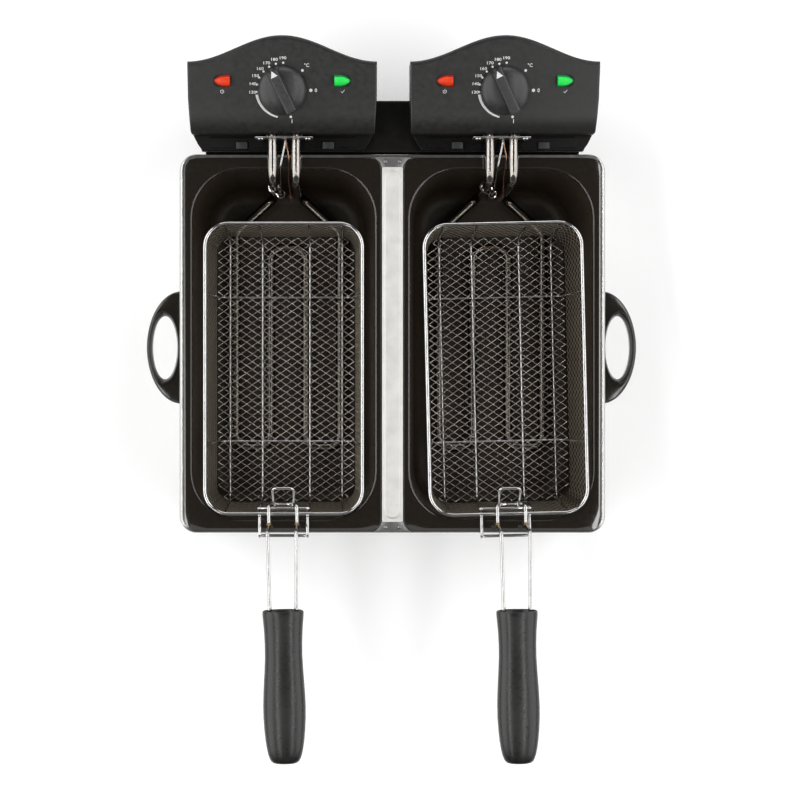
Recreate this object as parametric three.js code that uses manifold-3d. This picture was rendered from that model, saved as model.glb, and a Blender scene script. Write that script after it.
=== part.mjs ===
// Double deep fryer: a stainless steel housing with two lift-out enamelled pans, two lift-off control
// heads with immersion heating elements, and two wire baskets with fold-over handles.
// Millimetres, +Z up. Inside the exported group y = 0 is the middle of the housing and -y is the front; at
// the end the group is moved along y, so that the origin comes under the middle of the whole object.
import * as THREE from "three";
import { mergeVertices } from "three/addons/utils/BufferGeometryUtils.js";
import Module from "manifold-3d";

const wasm = await Module();
wasm.setup();

// ---- Driving dimensions ----------------------------------------------------------------------
const GAP = 0.3; // between pieces that rest on each other
const SHEET = 1.5; // pressed steel
const WALL = 2.5; // moulded plastic

const HOUSING = { width: 385, length: 341, top: 148.5, radius: 16, rounding: 4 };
const FOOT = { radius: 10, height: 8, x: 160, y: 140 };
const BASE_Z = FOOT.height + GAP;
const BASE_THICKNESS = 3;

const PAN = { width: 176.5, length: 336.6, radius: 11, pitch: 196.4, depth: 116 };
const TUB = { width: 163.3, length: 314.6, corner: 43 }; // the pan's opening
const PAN_X = PAN.pitch / 2;
const RIM_Z = HOUSING.top + GAP + SHEET; // top of the pan flanges

const REAR = { width: 337, front: HOUSING.length / 2 + GAP, back: 220, top: RIM_Z - 0.3 };
const RAIL = { offset: 42, width: 6, depth: 3.5, bottom: 30 };

const HEAD = { halfWidth: 83.5, frontHalfWidth: 82, front: 187, cornerY: 248.5, archRise: 22, tilt: 15 };
const HEAD_BASE_Z = REAR.top + GAP;
const HEAD_SPLIT_Z = HEAD_BASE_Z + 7; // where the cover meets the base
const PANEL_LOW = { y: 197, z: HEAD_SPLIT_Z + 17 };
const HEAD_BACK = HEAD.cornerY + HEAD.archRise;
const LEG = { halfWidth: 58, front: REAR.back + 0.7, back: 252, bottom: 64 };

const LUG = { offset: 38.7, shift: 1.75, half: 5.2 }; // two small blocks that hold the lid
const GLAND = { neck: 4, z: LEG.bottom + 16 };
const BRACKET = { halfWidth: 26, front: HEAD.front - 2.6, thickness: 1.6, height: 14.5, screwX: 21 };

const KNOB = { y: 223.5, radius: 21.5, skirt: 7, height: 17, stem: 4.5 };
const LAMP = { offset: 53, rise: 8.3, length: 14.5, radius: 5.2 };

const ELEMENT = { tube: 8.2, spacing: 21, legY: 145, topZ: HEAD_SPLIT_Z + 7.5, lowZ: 47, shift: 1.2 };
const BASKET = { width: 145, length: 264.6, y: -21.6, radius: 23, wire: 3.2, depth: 80, taper: 8 };
const CRADLE = { wire: 2.4, longX: [22.4, 46], crossY: 68 }; // the wires that carry the basket's mesh
const BASKET_Z = RIM_Z + GAP + 1.5; // centre of the rim wire

const HOOK = { halfWidth: 21.5, wire: 3, reach: -172.9, drop: 12 };
const HINGE = { y: -144, drop: 3.8 }; // the pins' axis, and how far it lies below the rim wire's centre
// the y values below are counted from the hinge
const HANDLE = { wire: 3, pinStart: 4.6, halfWidth: 12.6, gripHalf: 11.6, step: 34, stepY: -26.5 };
const GRIP = { front: -224, back: -90.5, thickness: 23 };
// The baskets and their handles sit a little to one side and slightly turned: [x, degrees about z].
const BAYS = [
  { side: "left", x: -PAN_X, inward: 1, basket: [0.2, 0], hookX: 0, handle: [-0.7, 0.9] },
  { side: "right", x: PAN_X, inward: -1, basket: [3.6, 1.35], hookX: -3.5, handle: [1.8, -0.45] },
];
const SIDE_HANDLE = { reach: 32, halfLength: 51.3, y: -2, low: 99, high: 121 };
const FINGER_HOLE = { x: 15.8, halfX: 11.4, halfY: 29 };

// ---- Materials -------------------------------------------------------------------------------
const finish = (color, roughness, metalness) =>
  new THREE.MeshStandardMaterial({ color, roughness, metalness });
const STEEL = finish(0xc9cacc, 0.3, 1);
const DARK_STEEL = finish(0x55575b, 0.4, 1);
const CHROME = finish(0xdadcdf, 0.12, 1);
const ENAMEL = finish(0x15120f, 0.1, 0);
const BLACK_PLASTIC = finish(0x1c1c1d, 0.5, 0);
const RUBBER = finish(0x222222, 0.8, 0);
const RED_LENS = finish(0xd02810, 0.15, 0);
const GREEN_LENS = finish(0x18b848, 0.15, 0);
const COPPER = finish(0xa8765a, 0.35, 1);
const CREAM_PLASTIC = finish(0xd8d2c0, 0.6, 0);

// ---- Solids ----------------------------------------------------------------------------------
// A closed three.js geometry as a manifold-3d solid.
function solid(geometry) {
  const bare = geometry.index ? geometry.toNonIndexed() : geometry.clone();
  bare.deleteAttribute("normal");
  bare.deleteAttribute("uv");
  const merged = mergeVertices(bare, 1e-4);
  return new wasm.Manifold(
    new wasm.Mesh({
      numProp: 3,
      vertProperties: merged.attributes.position.array,
      triVerts: new Uint32Array(merged.index.array),
    }),
  );
}

function geometryOf(manifold) {
  const mesh = manifold.getMesh();
  const geometry = new THREE.BufferGeometry();
  geometry.setAttribute("position", new THREE.BufferAttribute(mesh.vertProperties, 3));
  geometry.setIndex(new THREE.BufferAttribute(mesh.triVerts, 1));
  geometry.computeVertexNormals();
  return geometry;
}

const union = (...solids) => solids.reduce((a, b) => a.add(b));
const cut = (body, ...tools) => tools.reduce((a, b) => a.subtract(b), body);

// Adds a named mesh of a solid or a geometry to a group.
function place(group, name, shape, material) {
  const geometry = shape.isBufferGeometry ? shape : geometryOf(shape);
  const mesh = new THREE.Mesh(geometry, material);
  mesh.name = name;
  group.add(mesh);
  return mesh;
}

const mirrored = (points) => [...points, ...points.map(([x, y]) => [-x, y]).reverse()];
const outline = (points) => new THREE.Shape(points.map(([x, y]) => new THREE.Vector2(x, y)));

function roundedRect(width, length, radius) {
  const [w, l] = [width / 2, length / 2];
  const shape = new THREE.Shape();
  shape.moveTo(w - radius, -l);
  shape.absarc(w - radius, -l + radius, radius, -Math.PI / 2, 0);
  shape.absarc(w - radius, l - radius, radius, 0, Math.PI / 2);
  shape.absarc(-w + radius, l - radius, radius, Math.PI / 2, Math.PI);
  shape.absarc(-w + radius, -l + radius, radius, Math.PI, Math.PI * 1.5);
  shape.closePath();
  return shape;
}

function ellipse(halfX, halfY) {
  const shape = new THREE.Shape();
  shape.absellipse(0, 0, halfX, halfY, 0, Math.PI * 2);
  return shape;
}

// An outline raised from z = low to z = high.
function prism(shape, low, high, curveSegments = 3) {
  const options = { depth: high - low, bevelEnabled: false, curveSegments };
  return solid(new THREE.ExtrudeGeometry(shape, options).translate(0, 0, low));
}

function box(x0, x1, y0, y1, z0, z1) {
  const geometry = new THREE.BoxGeometry(x1 - x0, y1 - y0, z1 - z0);
  return solid(geometry.translate((x0 + x1) / 2, (y0 + y1) / 2, (z0 + z1) / 2));
}

// A rounded tub or box: a rounded rectangle drawn in by `inset` at each [z, inset] level.
function tub(width, length, radius, levels, curveSegments = 3) {
  const geometry = new THREE.ExtrudeGeometry(roundedRect(width, length, radius), {
    depth: levels.length - 1,
    steps: levels.length - 1,
    bevelEnabled: false,
    curveSegments,
  });
  const position = geometry.attributes.position;
  for (let i = 0; i < position.count; i++) {
    const [z, inset] = levels[Math.round(position.getZ(i))];
    position.setXYZ(
      i,
      position.getX(i) * (1 - (2 * inset) / width),
      position.getY(i) * (1 - (2 * inset) / length),
      z,
    );
  }
  return solid(geometry);
}

function cylinder(radius, low, high, sides = 12) {
  const geometry = new THREE.CylinderGeometry(radius, radius, high - low, sides);
  return solid(geometry.rotateX(Math.PI / 2).translate(0, 0, (low + high) / 2));
}

// A turned piece about +Z from [radius, z] points that start and end on the axis.
function turned(points, sides = 12) {
  const profile = points.map(([radius, z]) => new THREE.Vector2(radius, z));
  return solid(new THREE.LatheGeometry(profile, sides).rotateX(Math.PI / 2));
}

// A wire's centre line: straight runs between corner points, with each corner rounded.
class WirePath extends THREE.Curve {
  constructor(corners, bend, perBend) {
    super();
    const points = corners.map((p) => new THREE.Vector3(...p));
    this.stations = points.flatMap((p, i) => {
      if (i === 0 || i === points.length - 1) return [p];
      return WirePath.rounded(points[i - 1], p, points[i + 1], bend, perBend);
    });
  }

  static rounded(before, corner, after, bend, perBend) {
    const back = before.clone().sub(corner).normalize();
    const ahead = after.clone().sub(corner).normalize();
    const half = back.angleTo(ahead) / 2;
    const middle = back.clone().add(ahead).normalize();
    const centre = corner.clone().addScaledVector(middle, bend / Math.sin(half));
    const start = corner.clone().addScaledVector(back, bend / Math.tan(half)).sub(centre);
    const turn = Math.PI - 2 * half;
    const axis = back.clone().cross(ahead).normalize();
    const count = Math.max(1, Math.ceil((perBend * turn) / (Math.PI / 2)));
    return Array.from({ length: count + 1 }, (_, k) =>
      start.clone().applyAxisAngle(axis, (-turn * k) / count).add(centre),
    );
  }

  getPoint(t, target = new THREE.Vector3()) {
    const at = t * (this.stations.length - 1);
    const i = Math.min(Math.floor(at), this.stations.length - 2);
    return target.lerpVectors(this.stations[i], this.stations[i + 1], at - i);
  }

  getPointAt(t, target) {
    return this.getPoint(t, target);
  }

  getTangent(t, target = new THREE.Vector3()) {
    const last = this.stations.length - 1;
    const i = Math.round(t * last);
    const ahead = this.stations[Math.min(i + 1, last)].clone();
    const behind = this.stations[Math.max(i - 1, 0)];
    if (i === 0 || i === last) return target.copy(ahead.sub(behind).normalize());
    const here = this.stations[i];
    const out = ahead.sub(here).normalize();
    return target.copy(here.clone().sub(behind).normalize().add(out).normalize());
  }

  getTangentAt(t, target) {
    return this.getTangent(t, target);
  }
}

// The corner points of a wire whose second half is the mirror image of its first.
const bothSides = (half) => [...half, ...half.map(([x, y, z]) => [-x, y, z]).reverse()];

function wire(corners, diameter, bend, { sides = 6, perBend = 2 } = {}) {
  const path = new WirePath(corners, bend, perBend);
  const section = Array.from({ length: sides }, (_, i) => {
    const angle = ((i + 0.5) * 2 * Math.PI) / sides;
    return new THREE.Vector2((Math.cos(angle) * diameter) / 2, (Math.sin(angle) * diameter) / 2);
  });
  return solid(
    new THREE.ExtrudeGeometry(new THREE.Shape(section), {
      steps: path.stations.length - 1,
      bevelEnabled: false,
      extrudePath: path,
    }),
  );
}

// ---- Housing, base and the pieces fixed to them ------------------------------------------------
const DIVIDER = { halfWidth: 24, top: RIM_Z + 0.4, clearance: 0.4 };
const RIVET = { shank: 1, head: 2, dome: 1.3 };
const RIVETS = [[-6.3, -164.3], [6.3, -164.3], [-6.3, 164.6], [6.3, 164.6]];
const BRIDGE = { halfWidth: 8.9, halfLength: 159.5, sheet: 1, beadWidth: 13.6, beadRise: 1.2 };

function housingShell() {
  const { width, length, top, radius, rounding } = HOUSING;
  const low = BASE_Z + BASE_THICKNESS + GAP;
  const outer = tub(width, length, radius, [
    [low, 0],
    [top - rounding, 0],
    [top - 1.2, 1.2],
    [top, rounding],
  ]);
  const inner = tub(width - 2 * SHEET, length - 2 * SHEET, radius - SHEET, [
    [low - 1, 0],
    [top - rounding, 0],
    [top - SHEET, rounding - SHEET],
  ]);
  const mouth = roundedRect(TUB.width + 2 * SHEET + 3, TUB.length + 2 * SHEET + 3, TUB.corner + SHEET);
  const opening = prism(mouth, top - 2 * SHEET, top + 1);
  return cut(outer, inner, opening.translate([-PAN_X, 0, 0]), opening.translate([PAN_X, 0, 0]));
}

const basePlate = () =>
  prism(roundedRect(HOUSING.width, HOUSING.length, HOUSING.radius), BASE_Z, BASE_Z + BASE_THICKNESS);

function foot() {
  const { radius, height } = FOOT;
  return turned([[0, 0], [radius - 1.5, 0], [radius, 2], [radius, height], [0, height]]);
}

// The cross member between the pans: a strip whose ends flare to follow the pans' round corners.
function panDivider() {
  const { halfWidth, top, clearance } = DIVIDER;
  const around = roundedRect(PAN.width + 2 * clearance, PAN.length + 2 * clearance, PAN.radius);
  const keepOut = prism(around, 0, top + 1);
  const end = HOUSING.length / 2 - 2.4;
  const strip = box(-halfWidth, halfWidth, -end, end, HOUSING.top + GAP, top);
  const hole = cylinder(RIVET.shank + GAP, 0, top + 1, 8);
  const holes = RIVETS.map(([x, y]) => hole.translate([x, y, 0]));
  return cut(strip, keepOut.translate([-PAN_X, 0, 0]), keepOut.translate([PAN_X, 0, 0]), ...holes);
}

function rivet() {
  const { shank, head, dome } = RIVET;
  const low = HOUSING.top + GAP;
  const seat = DIVIDER.top + GAP;
  const top = [[head, seat], [head * 0.75, seat + 1], [0, seat + dome]];
  return turned([[0, low], [shank, low], [shank, seat], ...top], 8);
}

function bridgePlate() {
  const { halfWidth, halfLength, sheet, beadWidth, beadRise } = BRIDGE;
  const low = DIVIDER.top + GAP;
  const plate = box(-halfWidth, halfWidth, -halfLength, halfLength, low, low + sheet);
  const bead = tub(beadWidth, 2 * halfLength - 8, beadWidth / 2 - 0.1, [
    [low + sheet / 2, 0],
    [low + sheet, 0],
    [low + sheet + beadRise, 1.3],
  ]);
  return union(plate, bead);
}

function rearHousing() {
  const half = REAR.width / 2;
  const corner = 10;
  const shell = (inset) =>
    outline([
      [half - inset, REAR.front + inset],
      [half - inset, REAR.back - corner],
      [half - corner, REAR.back - inset],
      [-half + corner, REAR.back - inset],
      [-half + inset, REAR.back - corner],
      [-half + inset, REAR.front + inset],
    ]);
  const outer = prism(shell(0), BASE_Z, REAR.top);
  const inner = prism(shell(WALL), BASE_Z - 1, REAR.top - WALL);
  const { offset, width, depth, bottom } = RAIL;
  const rail = box(-width / 2, width / 2, REAR.back - 1, REAR.back + depth, bottom, REAR.top - 2);
  const places = [-PAN_X, PAN_X].flatMap((x) => [x - offset, x + offset]);
  const rails = places.map((x) => rail.translate([x, 0, 0]));
  return union(outer.subtract(inner), ...rails);
}

// An oval grab handle for the right side; the left one is its mirror image.
function sideHandle() {
  const { reach, halfLength, low, high } = SIDE_HANDLE;
  const { x: holeX, halfX, halfY } = FINGER_HOLE;
  const outer = (inset) => ellipse(reach - inset, halfLength - inset);
  const body = union(prism(outer(2), low, high, 9), prism(outer(0), low + 2.5, high - 2.5, 9));
  const hole = prism(ellipse(halfX, halfY), low - 1, high + 1, 7).translate([holeX, 0, 0]);
  const dishPlan = ellipse(halfX + 2.5, halfY + 3.5);
  const dish = prism(dishPlan, -2, 2, 7).translate([holeX + 0.8, 0, 0]);
  const inside = box(-reach - 1, 0, -halfLength - 1, halfLength + 1, low - 1, high + 1);
  const shaped = cut(body, hole, dish.translate([0, 0, low]), dish.translate([0, 0, high]), inside);
  return shaped.translate([HOUSING.width / 2 + GAP, SIDE_HANDLE.y, 0]);
}

// ---- One control head ------------------------------------------------------------------------
const panelZ = (y) => PANEL_LOW.z + (y - PANEL_LOW.y) * Math.tan(THREE.MathUtils.degToRad(HEAD.tilt));

// The cover's outline seen from above, drawn in by `inset`: the back edge is one raised cosine.
function headPlan(inset) {
  const { halfWidth, frontHalfWidth, front, cornerY, archRise } = HEAD;
  const steps = 8;
  const arch = Array.from({ length: steps }, (_, i) => {
    const along = i / steps;
    const rise = (archRise / 2) * (1 - Math.cos(Math.PI * along));
    return [(halfWidth - inset) * (1 - along), cornerY - inset + rise];
  });
  const peak = [0, cornerY + archRise - inset];
  const flank = [
    [frontHalfWidth - 2.5 - inset, front + inset],
    [frontHalfWidth - inset, front + 8 + inset],
  ]; // a small bevel at the front corner
  return outline([...mirrored([...flank, ...arch]), peak].sort(byAngle));
}

// Sorts outline points anticlockwise about a point inside the head.
const byAngle = (a, b) => Math.atan2(a[1] - 220, a[0]) - Math.atan2(b[1] - 220, b[0]);

// The cover's side profile, as an outline in (y, z), drawn in by `inset`.
function headProfile(inset) {
  const top = (y) => panelZ(y) - inset;
  const bottom = HEAD_SPLIT_Z + GAP - (inset ? 1 : 0);
  const { front } = HEAD;
  return outline([
    [front + inset, bottom],
    [HEAD_BACK + 1, bottom],
    [HEAD_BACK + 1, top(HEAD_BACK + 1)],
    [PANEL_LOW.y + 1, top(PANEL_LOW.y + 1)],
    [PANEL_LOW.y - 5.5 + inset, top(PANEL_LOW.y) - 3],
    [front + 0.6 + inset, HEAD_SPLIT_Z + 8],
  ]);
}

function headBlock(inset) {
  const width = 2 * HEAD.halfWidth + 2;
  const profile = new THREE.ExtrudeGeometry(headProfile(inset), { depth: width, bevelEnabled: false });
  // (y, z) outline extruded along x
  profile.applyMatrix4(new THREE.Matrix4().set(0, 0, 1, -width / 2, 1, 0, 0, 0, 0, 1, 0, 0, 0, 0, 0, 1));
  return solid(profile).intersect(prism(headPlan(inset), HEAD_SPLIT_Z - 2, HEAD_SPLIT_Z + 80));
}

// Turns a solid made about the knob's axis (panel face at z = 0) to where it lies on the panel.
const onPanel = (made) => made.rotate([HEAD.tilt, 0, 0]).translate([0, KNOB.y, panelZ(KNOB.y)]);

// A bullet-shaped pilot lens pointing along +x, half sunk in the panel.
function lensShape(grow) {
  const { length } = LAMP;
  const r = LAMP.radius + grow;
  const straight = length * 0.45;
  const nose = (along) => [r * Math.sqrt(1 - along ** 2), straight + (length - straight) * along];
  const profile = [[0, -grow], [r, -grow], [r, straight], nose(1 / 3), nose(2 / 3), [0, length + grow]];
  return turned(profile, 10).rotate([0, 90, 0]);
}

const lensPlace = (side, made) => {
  const facing = side > 0 ? made : made.rotate([0, 0, 180]);
  return onPanel(facing.translate([side * (LAMP.offset - LAMP.length / 2), LAMP.rise, 0]));
};

function controlCover(inward) {
  const { front } = HEAD;
  const { halfWidth, height } = BRACKET;
  const stemHole = onPanel(cylinder(KNOB.stem + 2 * GAP, -12, 4));
  const lampHoles = [-1, 1].map((side) => lensPlace(side, lensShape(GAP)));
  const [recessX, recessTop] = [halfWidth + 0.5, HEAD_SPLIT_Z + height + 0.5];
  const recess = box(-recessX, recessX, front - 6, front + 9, HEAD_SPLIT_Z - 1, recessTop);
  const bracketRecess = recess.translate([ELEMENT.shift * inward, 0, 0]);
  return cut(headBlock(0), headBlock(WALL), stemHole, ...lampHoles, bracketRecess);
}

// The floor under the cover, with its slightly raked sides.
function baseFloor(front) {
  const half = [
    [72, front],
    [74, front + 5],
    [HEAD.frontHalfWidth - 2, HEAD.front + 2],
    [HEAD.halfWidth - 1, HEAD.cornerY - 4],
  ];
  return prism(outline(mirrored(half).sort(byAngle)), HEAD_BASE_Z, HEAD_SPLIT_Z);
}

// The groove in the leg that slides on a rail of the rear housing.
function railGroove(x) {
  const half = RAIL.width / 2 + 2 * GAP;
  const depth = REAR.back + RAIL.depth + 2 * GAP;
  return box(x - half, x + half, LEG.front - 1, depth, LEG.bottom - 1, HEAD_BASE_Z);
}

function controlBase(inward) {
  const front = HOUSING.length / 2 + 2;
  const { halfWidth, back, bottom } = LEG;
  const leg = box(-halfWidth, halfWidth, LEG.front, back, bottom, HEAD_BASE_Z + 1);
  const inside = halfWidth - WALL;
  const hollow = box(-inside, inside, LEG.front + 7, back - WALL, bottom + WALL, HEAD_SPLIT_Z + 1);
  const grooves = [-RAIL.offset, RAIL.offset].map(railGroove);
  const lugs = [-1, 1].map((side) => {
    const x = side * LUG.offset + LUG.shift * inward;
    return box(x - LUG.half, x + LUG.half, front + 1.5, front + 8.5, HEAD_SPLIT_Z - 1, HEAD_SPLIT_Z + 4);
  });
  const inlet = cylinder(GLAND.neck + 2 * GAP, -20, 20).rotate([90, 0, 0]).translate([0, back, GLAND.z]);
  return cut(union(baseFloor(front), leg, ...lugs), hollow, ...grooves, inlet);
}

// The steel plate that carries the heating tubes out of the head.
function elementBracket() {
  const { halfWidth, front, thickness, height, screwX } = BRACKET;
  const [low, high] = [HEAD_SPLIT_Z + GAP, HEAD_SPLIT_Z + height];
  const plate = box(-halfWidth, halfWidth, front, front + thickness, low, high);
  const bore = (x, radius) =>
    cylinder(radius, -8, 8, 8).rotate([90, 0, 0]).translate([x, HEAD.front, ELEMENT.topZ]);
  const tubeBore = ELEMENT.tube / 2 + 2 * GAP;
  const tubes = [-1, 1].map((side) => bore((side * ELEMENT.spacing) / 2, tubeBore));
  const screws = [-screwX, screwX].map((x) => bore(x, 1.6));
  return cut(plate, ...tubes, ...screws, bore(0, 2.6));
}

function bracketScrew(x) {
  const [shank, head] = [1.2, 2.9];
  const screw = turned([[0, -6], [shank, -6], [shank, 0], [head, 0], [head, 1], [0, 2.3]], 8);
  return screw.rotate([90, 0, 0]).translate([x, BRACKET.front - GAP, ELEMENT.topZ]);
}

// One sheathed tube: out of the head, down into the pan, and twice along it as a flat serpentine.
function heatingElement() {
  const { tube, spacing, legY, topZ, lowZ } = ELEMENT;
  const [near, inner, outer] = [spacing / 2, 17, 50];
  const half = [
    [near, HEAD.front + 16, topZ],
    [near, legY, topZ],
    [near, legY, lowZ],
    [outer, legY - 36, lowZ],
    [outer, -96, lowZ],
    [inner, -96, lowZ],
    [inner, legY - 50, lowZ],
  ];
  return wire(bothSides(half), tube, 12);
}

const BULBS = { thermostat: [-4.5, 138.6], cutout: [4.6, 137] };
const CLIP = { low: 112, high: 121 };

// A block clamped round one tube, with a bore for the thermostat's bulb.
function sensorClip() {
  const { low, high } = CLIP;
  const { tube, spacing, legY } = ELEMENT;
  const tubeX = -spacing / 2;
  const block = box(tubeX - 5.6, -GAP, 134.2, legY + 5.6, low, high);
  const bore = (radius, x, y) => cylinder(radius, low - 1, high + 1, 8).translate([x, y, 0]);
  return cut(block, bore(tube / 2 + 2 * GAP, tubeX, legY), bore(3.4, ...BULBS.thermostat));
}

// A fluid-filled bulb on its capillary, which leads back through the bracket into the head.
function capillary(bulb, mouth, radius) {
  const [bottom, top] = [84, 122];
  const route = [
    [...bulb, top - 4],
    [...bulb, top + 10],
    [mouth * 1.6, 156, ELEMENT.topZ],
    [mouth, HEAD.front + 12, ELEMENT.topZ],
  ];
  return union(wire(route, 1.5, 6), cylinder(radius, bottom, top, 8).translate([...bulb, 0]));
}

function thermostat() {
  const below = -(WALL + 2);
  const body = box(-19, 19, -15, 15, below - 13, below);
  const collar = cylinder(7.5, below - 1, below + 1.2);
  const bore = cylinder(KNOB.stem + 0.4, below - 4, 4);
  return onPanel(union(body, collar).subtract(bore));
}

// A domed knob with a straight finger bar across it and a stem that enters the thermostat.
function knob() {
  const { radius, skirt, height, stem } = KNOB;
  const lift = 0.6; // above the panel
  const dome = [
    [0, lift],
    [radius, lift],
    [radius, lift + 2.5],
    [radius - 2.5, skirt],
    [radius * 0.45, skirt + 3],
    [0, skirt + 3.5],
  ];
  const barLevels = [[lift + 1, 0], [height - 2, 0.4], [height, 1.6]];
  const within = cylinder(radius - 0.4, 0, height + 1, 20);
  const bar = tub(11.5, 2 * radius - 1, 3, barLevels, 2).intersect(within);
  const pin = cylinder(stem, -6.5, lift + 1);
  const pointerAngle = 26; // the bar points between 170 and 180 degrees
  return onPanel(union(turned(dome, 20), bar, pin).rotate([0, 0, pointerAngle]));
}

const safetySwitch = () => box(42, 62, 196, 203, HEAD_SPLIT_Z + GAP, HEAD_SPLIT_Z + 11);

function cordGland() {
  const { neck, z } = GLAND;
  const flange = neck + 3;
  const profile = [[0, -5], [neck, -5], [neck, GAP], [flange, GAP], [flange, 3], [flange - 2, 12], [0, 12]];
  const bush = turned(profile, 10).subtract(cylinder(3, -8, 20, 8));
  return bush.rotate([-90, 0, 0]).translate([0, LEG.back, z]);
}

// ---- Pan, basket and handle ------------------------------------------------------------------
function pan() {
  const flange = prism(roundedRect(PAN.width, PAN.length, PAN.radius), RIM_Z - SHEET, RIM_Z);
  const floor = RIM_Z - PAN.depth;
  const draft = [[floor, 17], [floor + 4, 10.5], [floor + 14, 6.5], [RIM_Z - 2, 0.5]];
  const outer = tub(TUB.width + 2 * SHEET, TUB.length + 2 * SHEET, TUB.corner + SHEET, [
    [floor - SHEET, 17],
    ...draft.slice(1),
    [RIM_Z - 1, 0],
  ]);
  const inner = tub(TUB.width, TUB.length, TUB.corner, [...draft, [RIM_Z + 1, 0]]);
  return union(flange, outer).subtract(inner);
}

const basketHalf = { x: (BASKET.width - BASKET.wire) / 2, y: (BASKET.length - BASKET.wire) / 2 };
const meshInset = BASKET.wire / 2 + GAP;

// The woven liner as a thin tray; it hangs just inside the rim wire.
function basketMesh() {
  const { depth, taper, radius } = BASKET;
  const [w, l] = [2 * (basketHalf.x - meshInset), 2 * (basketHalf.y - meshInset)];
  const low = BASKET_Z - depth;
  const levels = (drop) => [[low + drop, taper + 5], [low + drop + 5, taper], [BASKET_Z + drop, 0]];
  const outer = tub(w, l, radius - meshInset, levels(0));
  const inner = tub(w - 2, l - 2, radius - meshInset - 1, levels(1));
  return outer.subtract(inner);
}

// The rim ring, with a cradle of long wires welded under it and cross wires welded under those.
function basketFrame() {
  const { longX, crossY } = CRADLE;
  const low = BASKET_Z - BASKET.depth - GAP - CRADLE.wire / 2;
  const long = longX.flatMap((x) => [-x, x]).map((x) => cradleWire(basketHalf.y, low, (y, z) => [x, y, z]));
  const cross = [-crossY, crossY].map((y) => cradleWire(basketHalf.x, low - 1.5, (x, z) => [x, y, z]));
  return union(basketRim(), ...long, ...cross);
}

// The rim ring: a bar of octagonal section bent round the basket's mouth.
function basketRim() {
  const { width, length, wire: d, radius } = BASKET;
  const half = d / 2;
  const bevel = half * 0.6;
  const section = (inset) => [
    [BASKET_Z - half, inset],
    [BASKET_Z - half / 2, 0],
    [BASKET_Z + half / 2, 0],
    [BASKET_Z + half, inset],
  ];
  const bore = [[BASKET_Z - d, -bevel], ...section(-bevel), [BASKET_Z + d, -bevel]];
  const outer = tub(width, length, radius, section(bevel));
  return outer.subtract(tub(width - 2 * d, length - 2 * d, radius - d, bore));
}

// A wire from rim to rim under the mesh. `at` turns a place along it and a height into a point.
function cradleWire(reach, z, at) {
  const foot = reach - BASKET.taper + 1;
  const top = BASKET_Z - 0.4;
  return wire([at(-reach, top), at(-foot, z), at(foot, z), at(reach, top)], CRADLE.wire, 5, { perBend: 1 });
}

// The hanging hook: two bars over the pan's rim, joined by a cross rod in front of the housing.
function basketHook() {
  const { halfWidth, reach, drop } = HOOK;
  const start = BASKET.y - basketHalf.y - BASKET.wire / 2 - GAP;
  const half = [
    [-halfWidth, start, BASKET_Z],
    [-halfWidth, reach, BASKET_Z],
    [-halfWidth, reach, BASKET_Z - drop],
  ];
  return wire(bothSides(half), HOOK.wire, 3);
}

const PIVOT = [HINGE.y, BASKET_Z - HINGE.drop];
const CATCH = { x: 8, wire: 2.4, ring: 3.3, ringWire: 2, bowY: -128.5, bowRise: 14 };

// The loop inside the basket: a leaning bow whose feet end in the two rings that the handle hinges in.
function handleCatch() {
  const { x, wire: d, ring, ringWire, bowY, bowRise } = CATCH;
  const [y, z] = PIVOT;
  const bow = wire(bothSides([[-x, y, z + ring], [-x, bowY, BASKET_Z + bowRise]]), d, 3.2);
  const foot = wire(bothSides([[-x, y, z - ring], [-x, y - 0.8, z - 9]]), d, 2.4);
  const hoop = solid(new THREE.TorusGeometry(ring, ringWire / 2, 5, 8).rotateY(Math.PI / 2));
  return union(bow, foot, hoop.translate([-x, y, z]), hoop.translate([x, y, z]));
}

const OVER_RIM_Z = BASKET_Z + (BASKET.wire + HANDLE.wire) / 2 + 1;

// The handle's one wire, from hinge pin to hinge pin, in coordinates from the middle of the hinge.
function handlePath(grow = 0) {
  const { wire: d, pinStart, halfWidth, gripHalf, step, stepY } = HANDLE;
  const pivotZ = BASKET_Z - HINGE.drop;
  const half = [
    [pinStart, 0, pivotZ],
    [halfWidth, 0, pivotZ],
    [halfWidth, 0, OVER_RIM_Z],
    [halfWidth, stepY, OVER_RIM_Z],
    [halfWidth, stepY - 2, OVER_RIM_Z + step],
    [gripHalf, GRIP.back, OVER_RIM_Z + step],
    [gripHalf, GRIP.back - 34, OVER_RIM_Z + step],
  ];
  return wire(bothSides(half), d + 2 * grow, 3);
}

// The grip's outline seen from above: flared at the mouth, waisted, full in the palm, blunt at the end.
// Each station is [share of the length, half width].
const GRIP_STATIONS = [
  [0, 18.2],
  [0.04, 18],
  [0.14, 16.9],
  [0.3, 16.5],
  [0.45, 17.6],
  [0.62, 18.7],
  [0.78, 18],
  [0.9, 16],
  [0.97, 13.6],
  [1, 10.5],
];

function grip() {
  const { front, back, thickness } = GRIP;
  const length = back - front;
  const z = OVER_RIM_Z + HANDLE.step;
  const sides = mirrored(GRIP_STATIONS.map(([along, half]) => [half, back - along * length]));
  const bevel = 6;
  const geometry = new THREE.ExtrudeGeometry(outline(sides.reverse()), {
    depth: thickness - 2 * bevel,
    bevelEnabled: true,
    bevelThickness: bevel,
    bevelSize: 0,
    bevelSegments: 2,
  });
  // the cross-section is round: each layer is drawn in towards the middle line
  const position = geometry.attributes.position;
  for (let i = 0; i < position.count; i++) {
    const height = position.getZ(i) - (thickness / 2 - bevel);
    const share = Math.sqrt(1 - (height / (thickness / 2)) ** 2 * 0.72);
    position.setX(i, position.getX(i) * share);
    position.setZ(i, z + height);
  }
  return solid(geometry).subtract(handlePath(GAP));
}

// ---- The assembly ------------------------------------------------------------------------------
const fryer = new THREE.Group();

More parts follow.
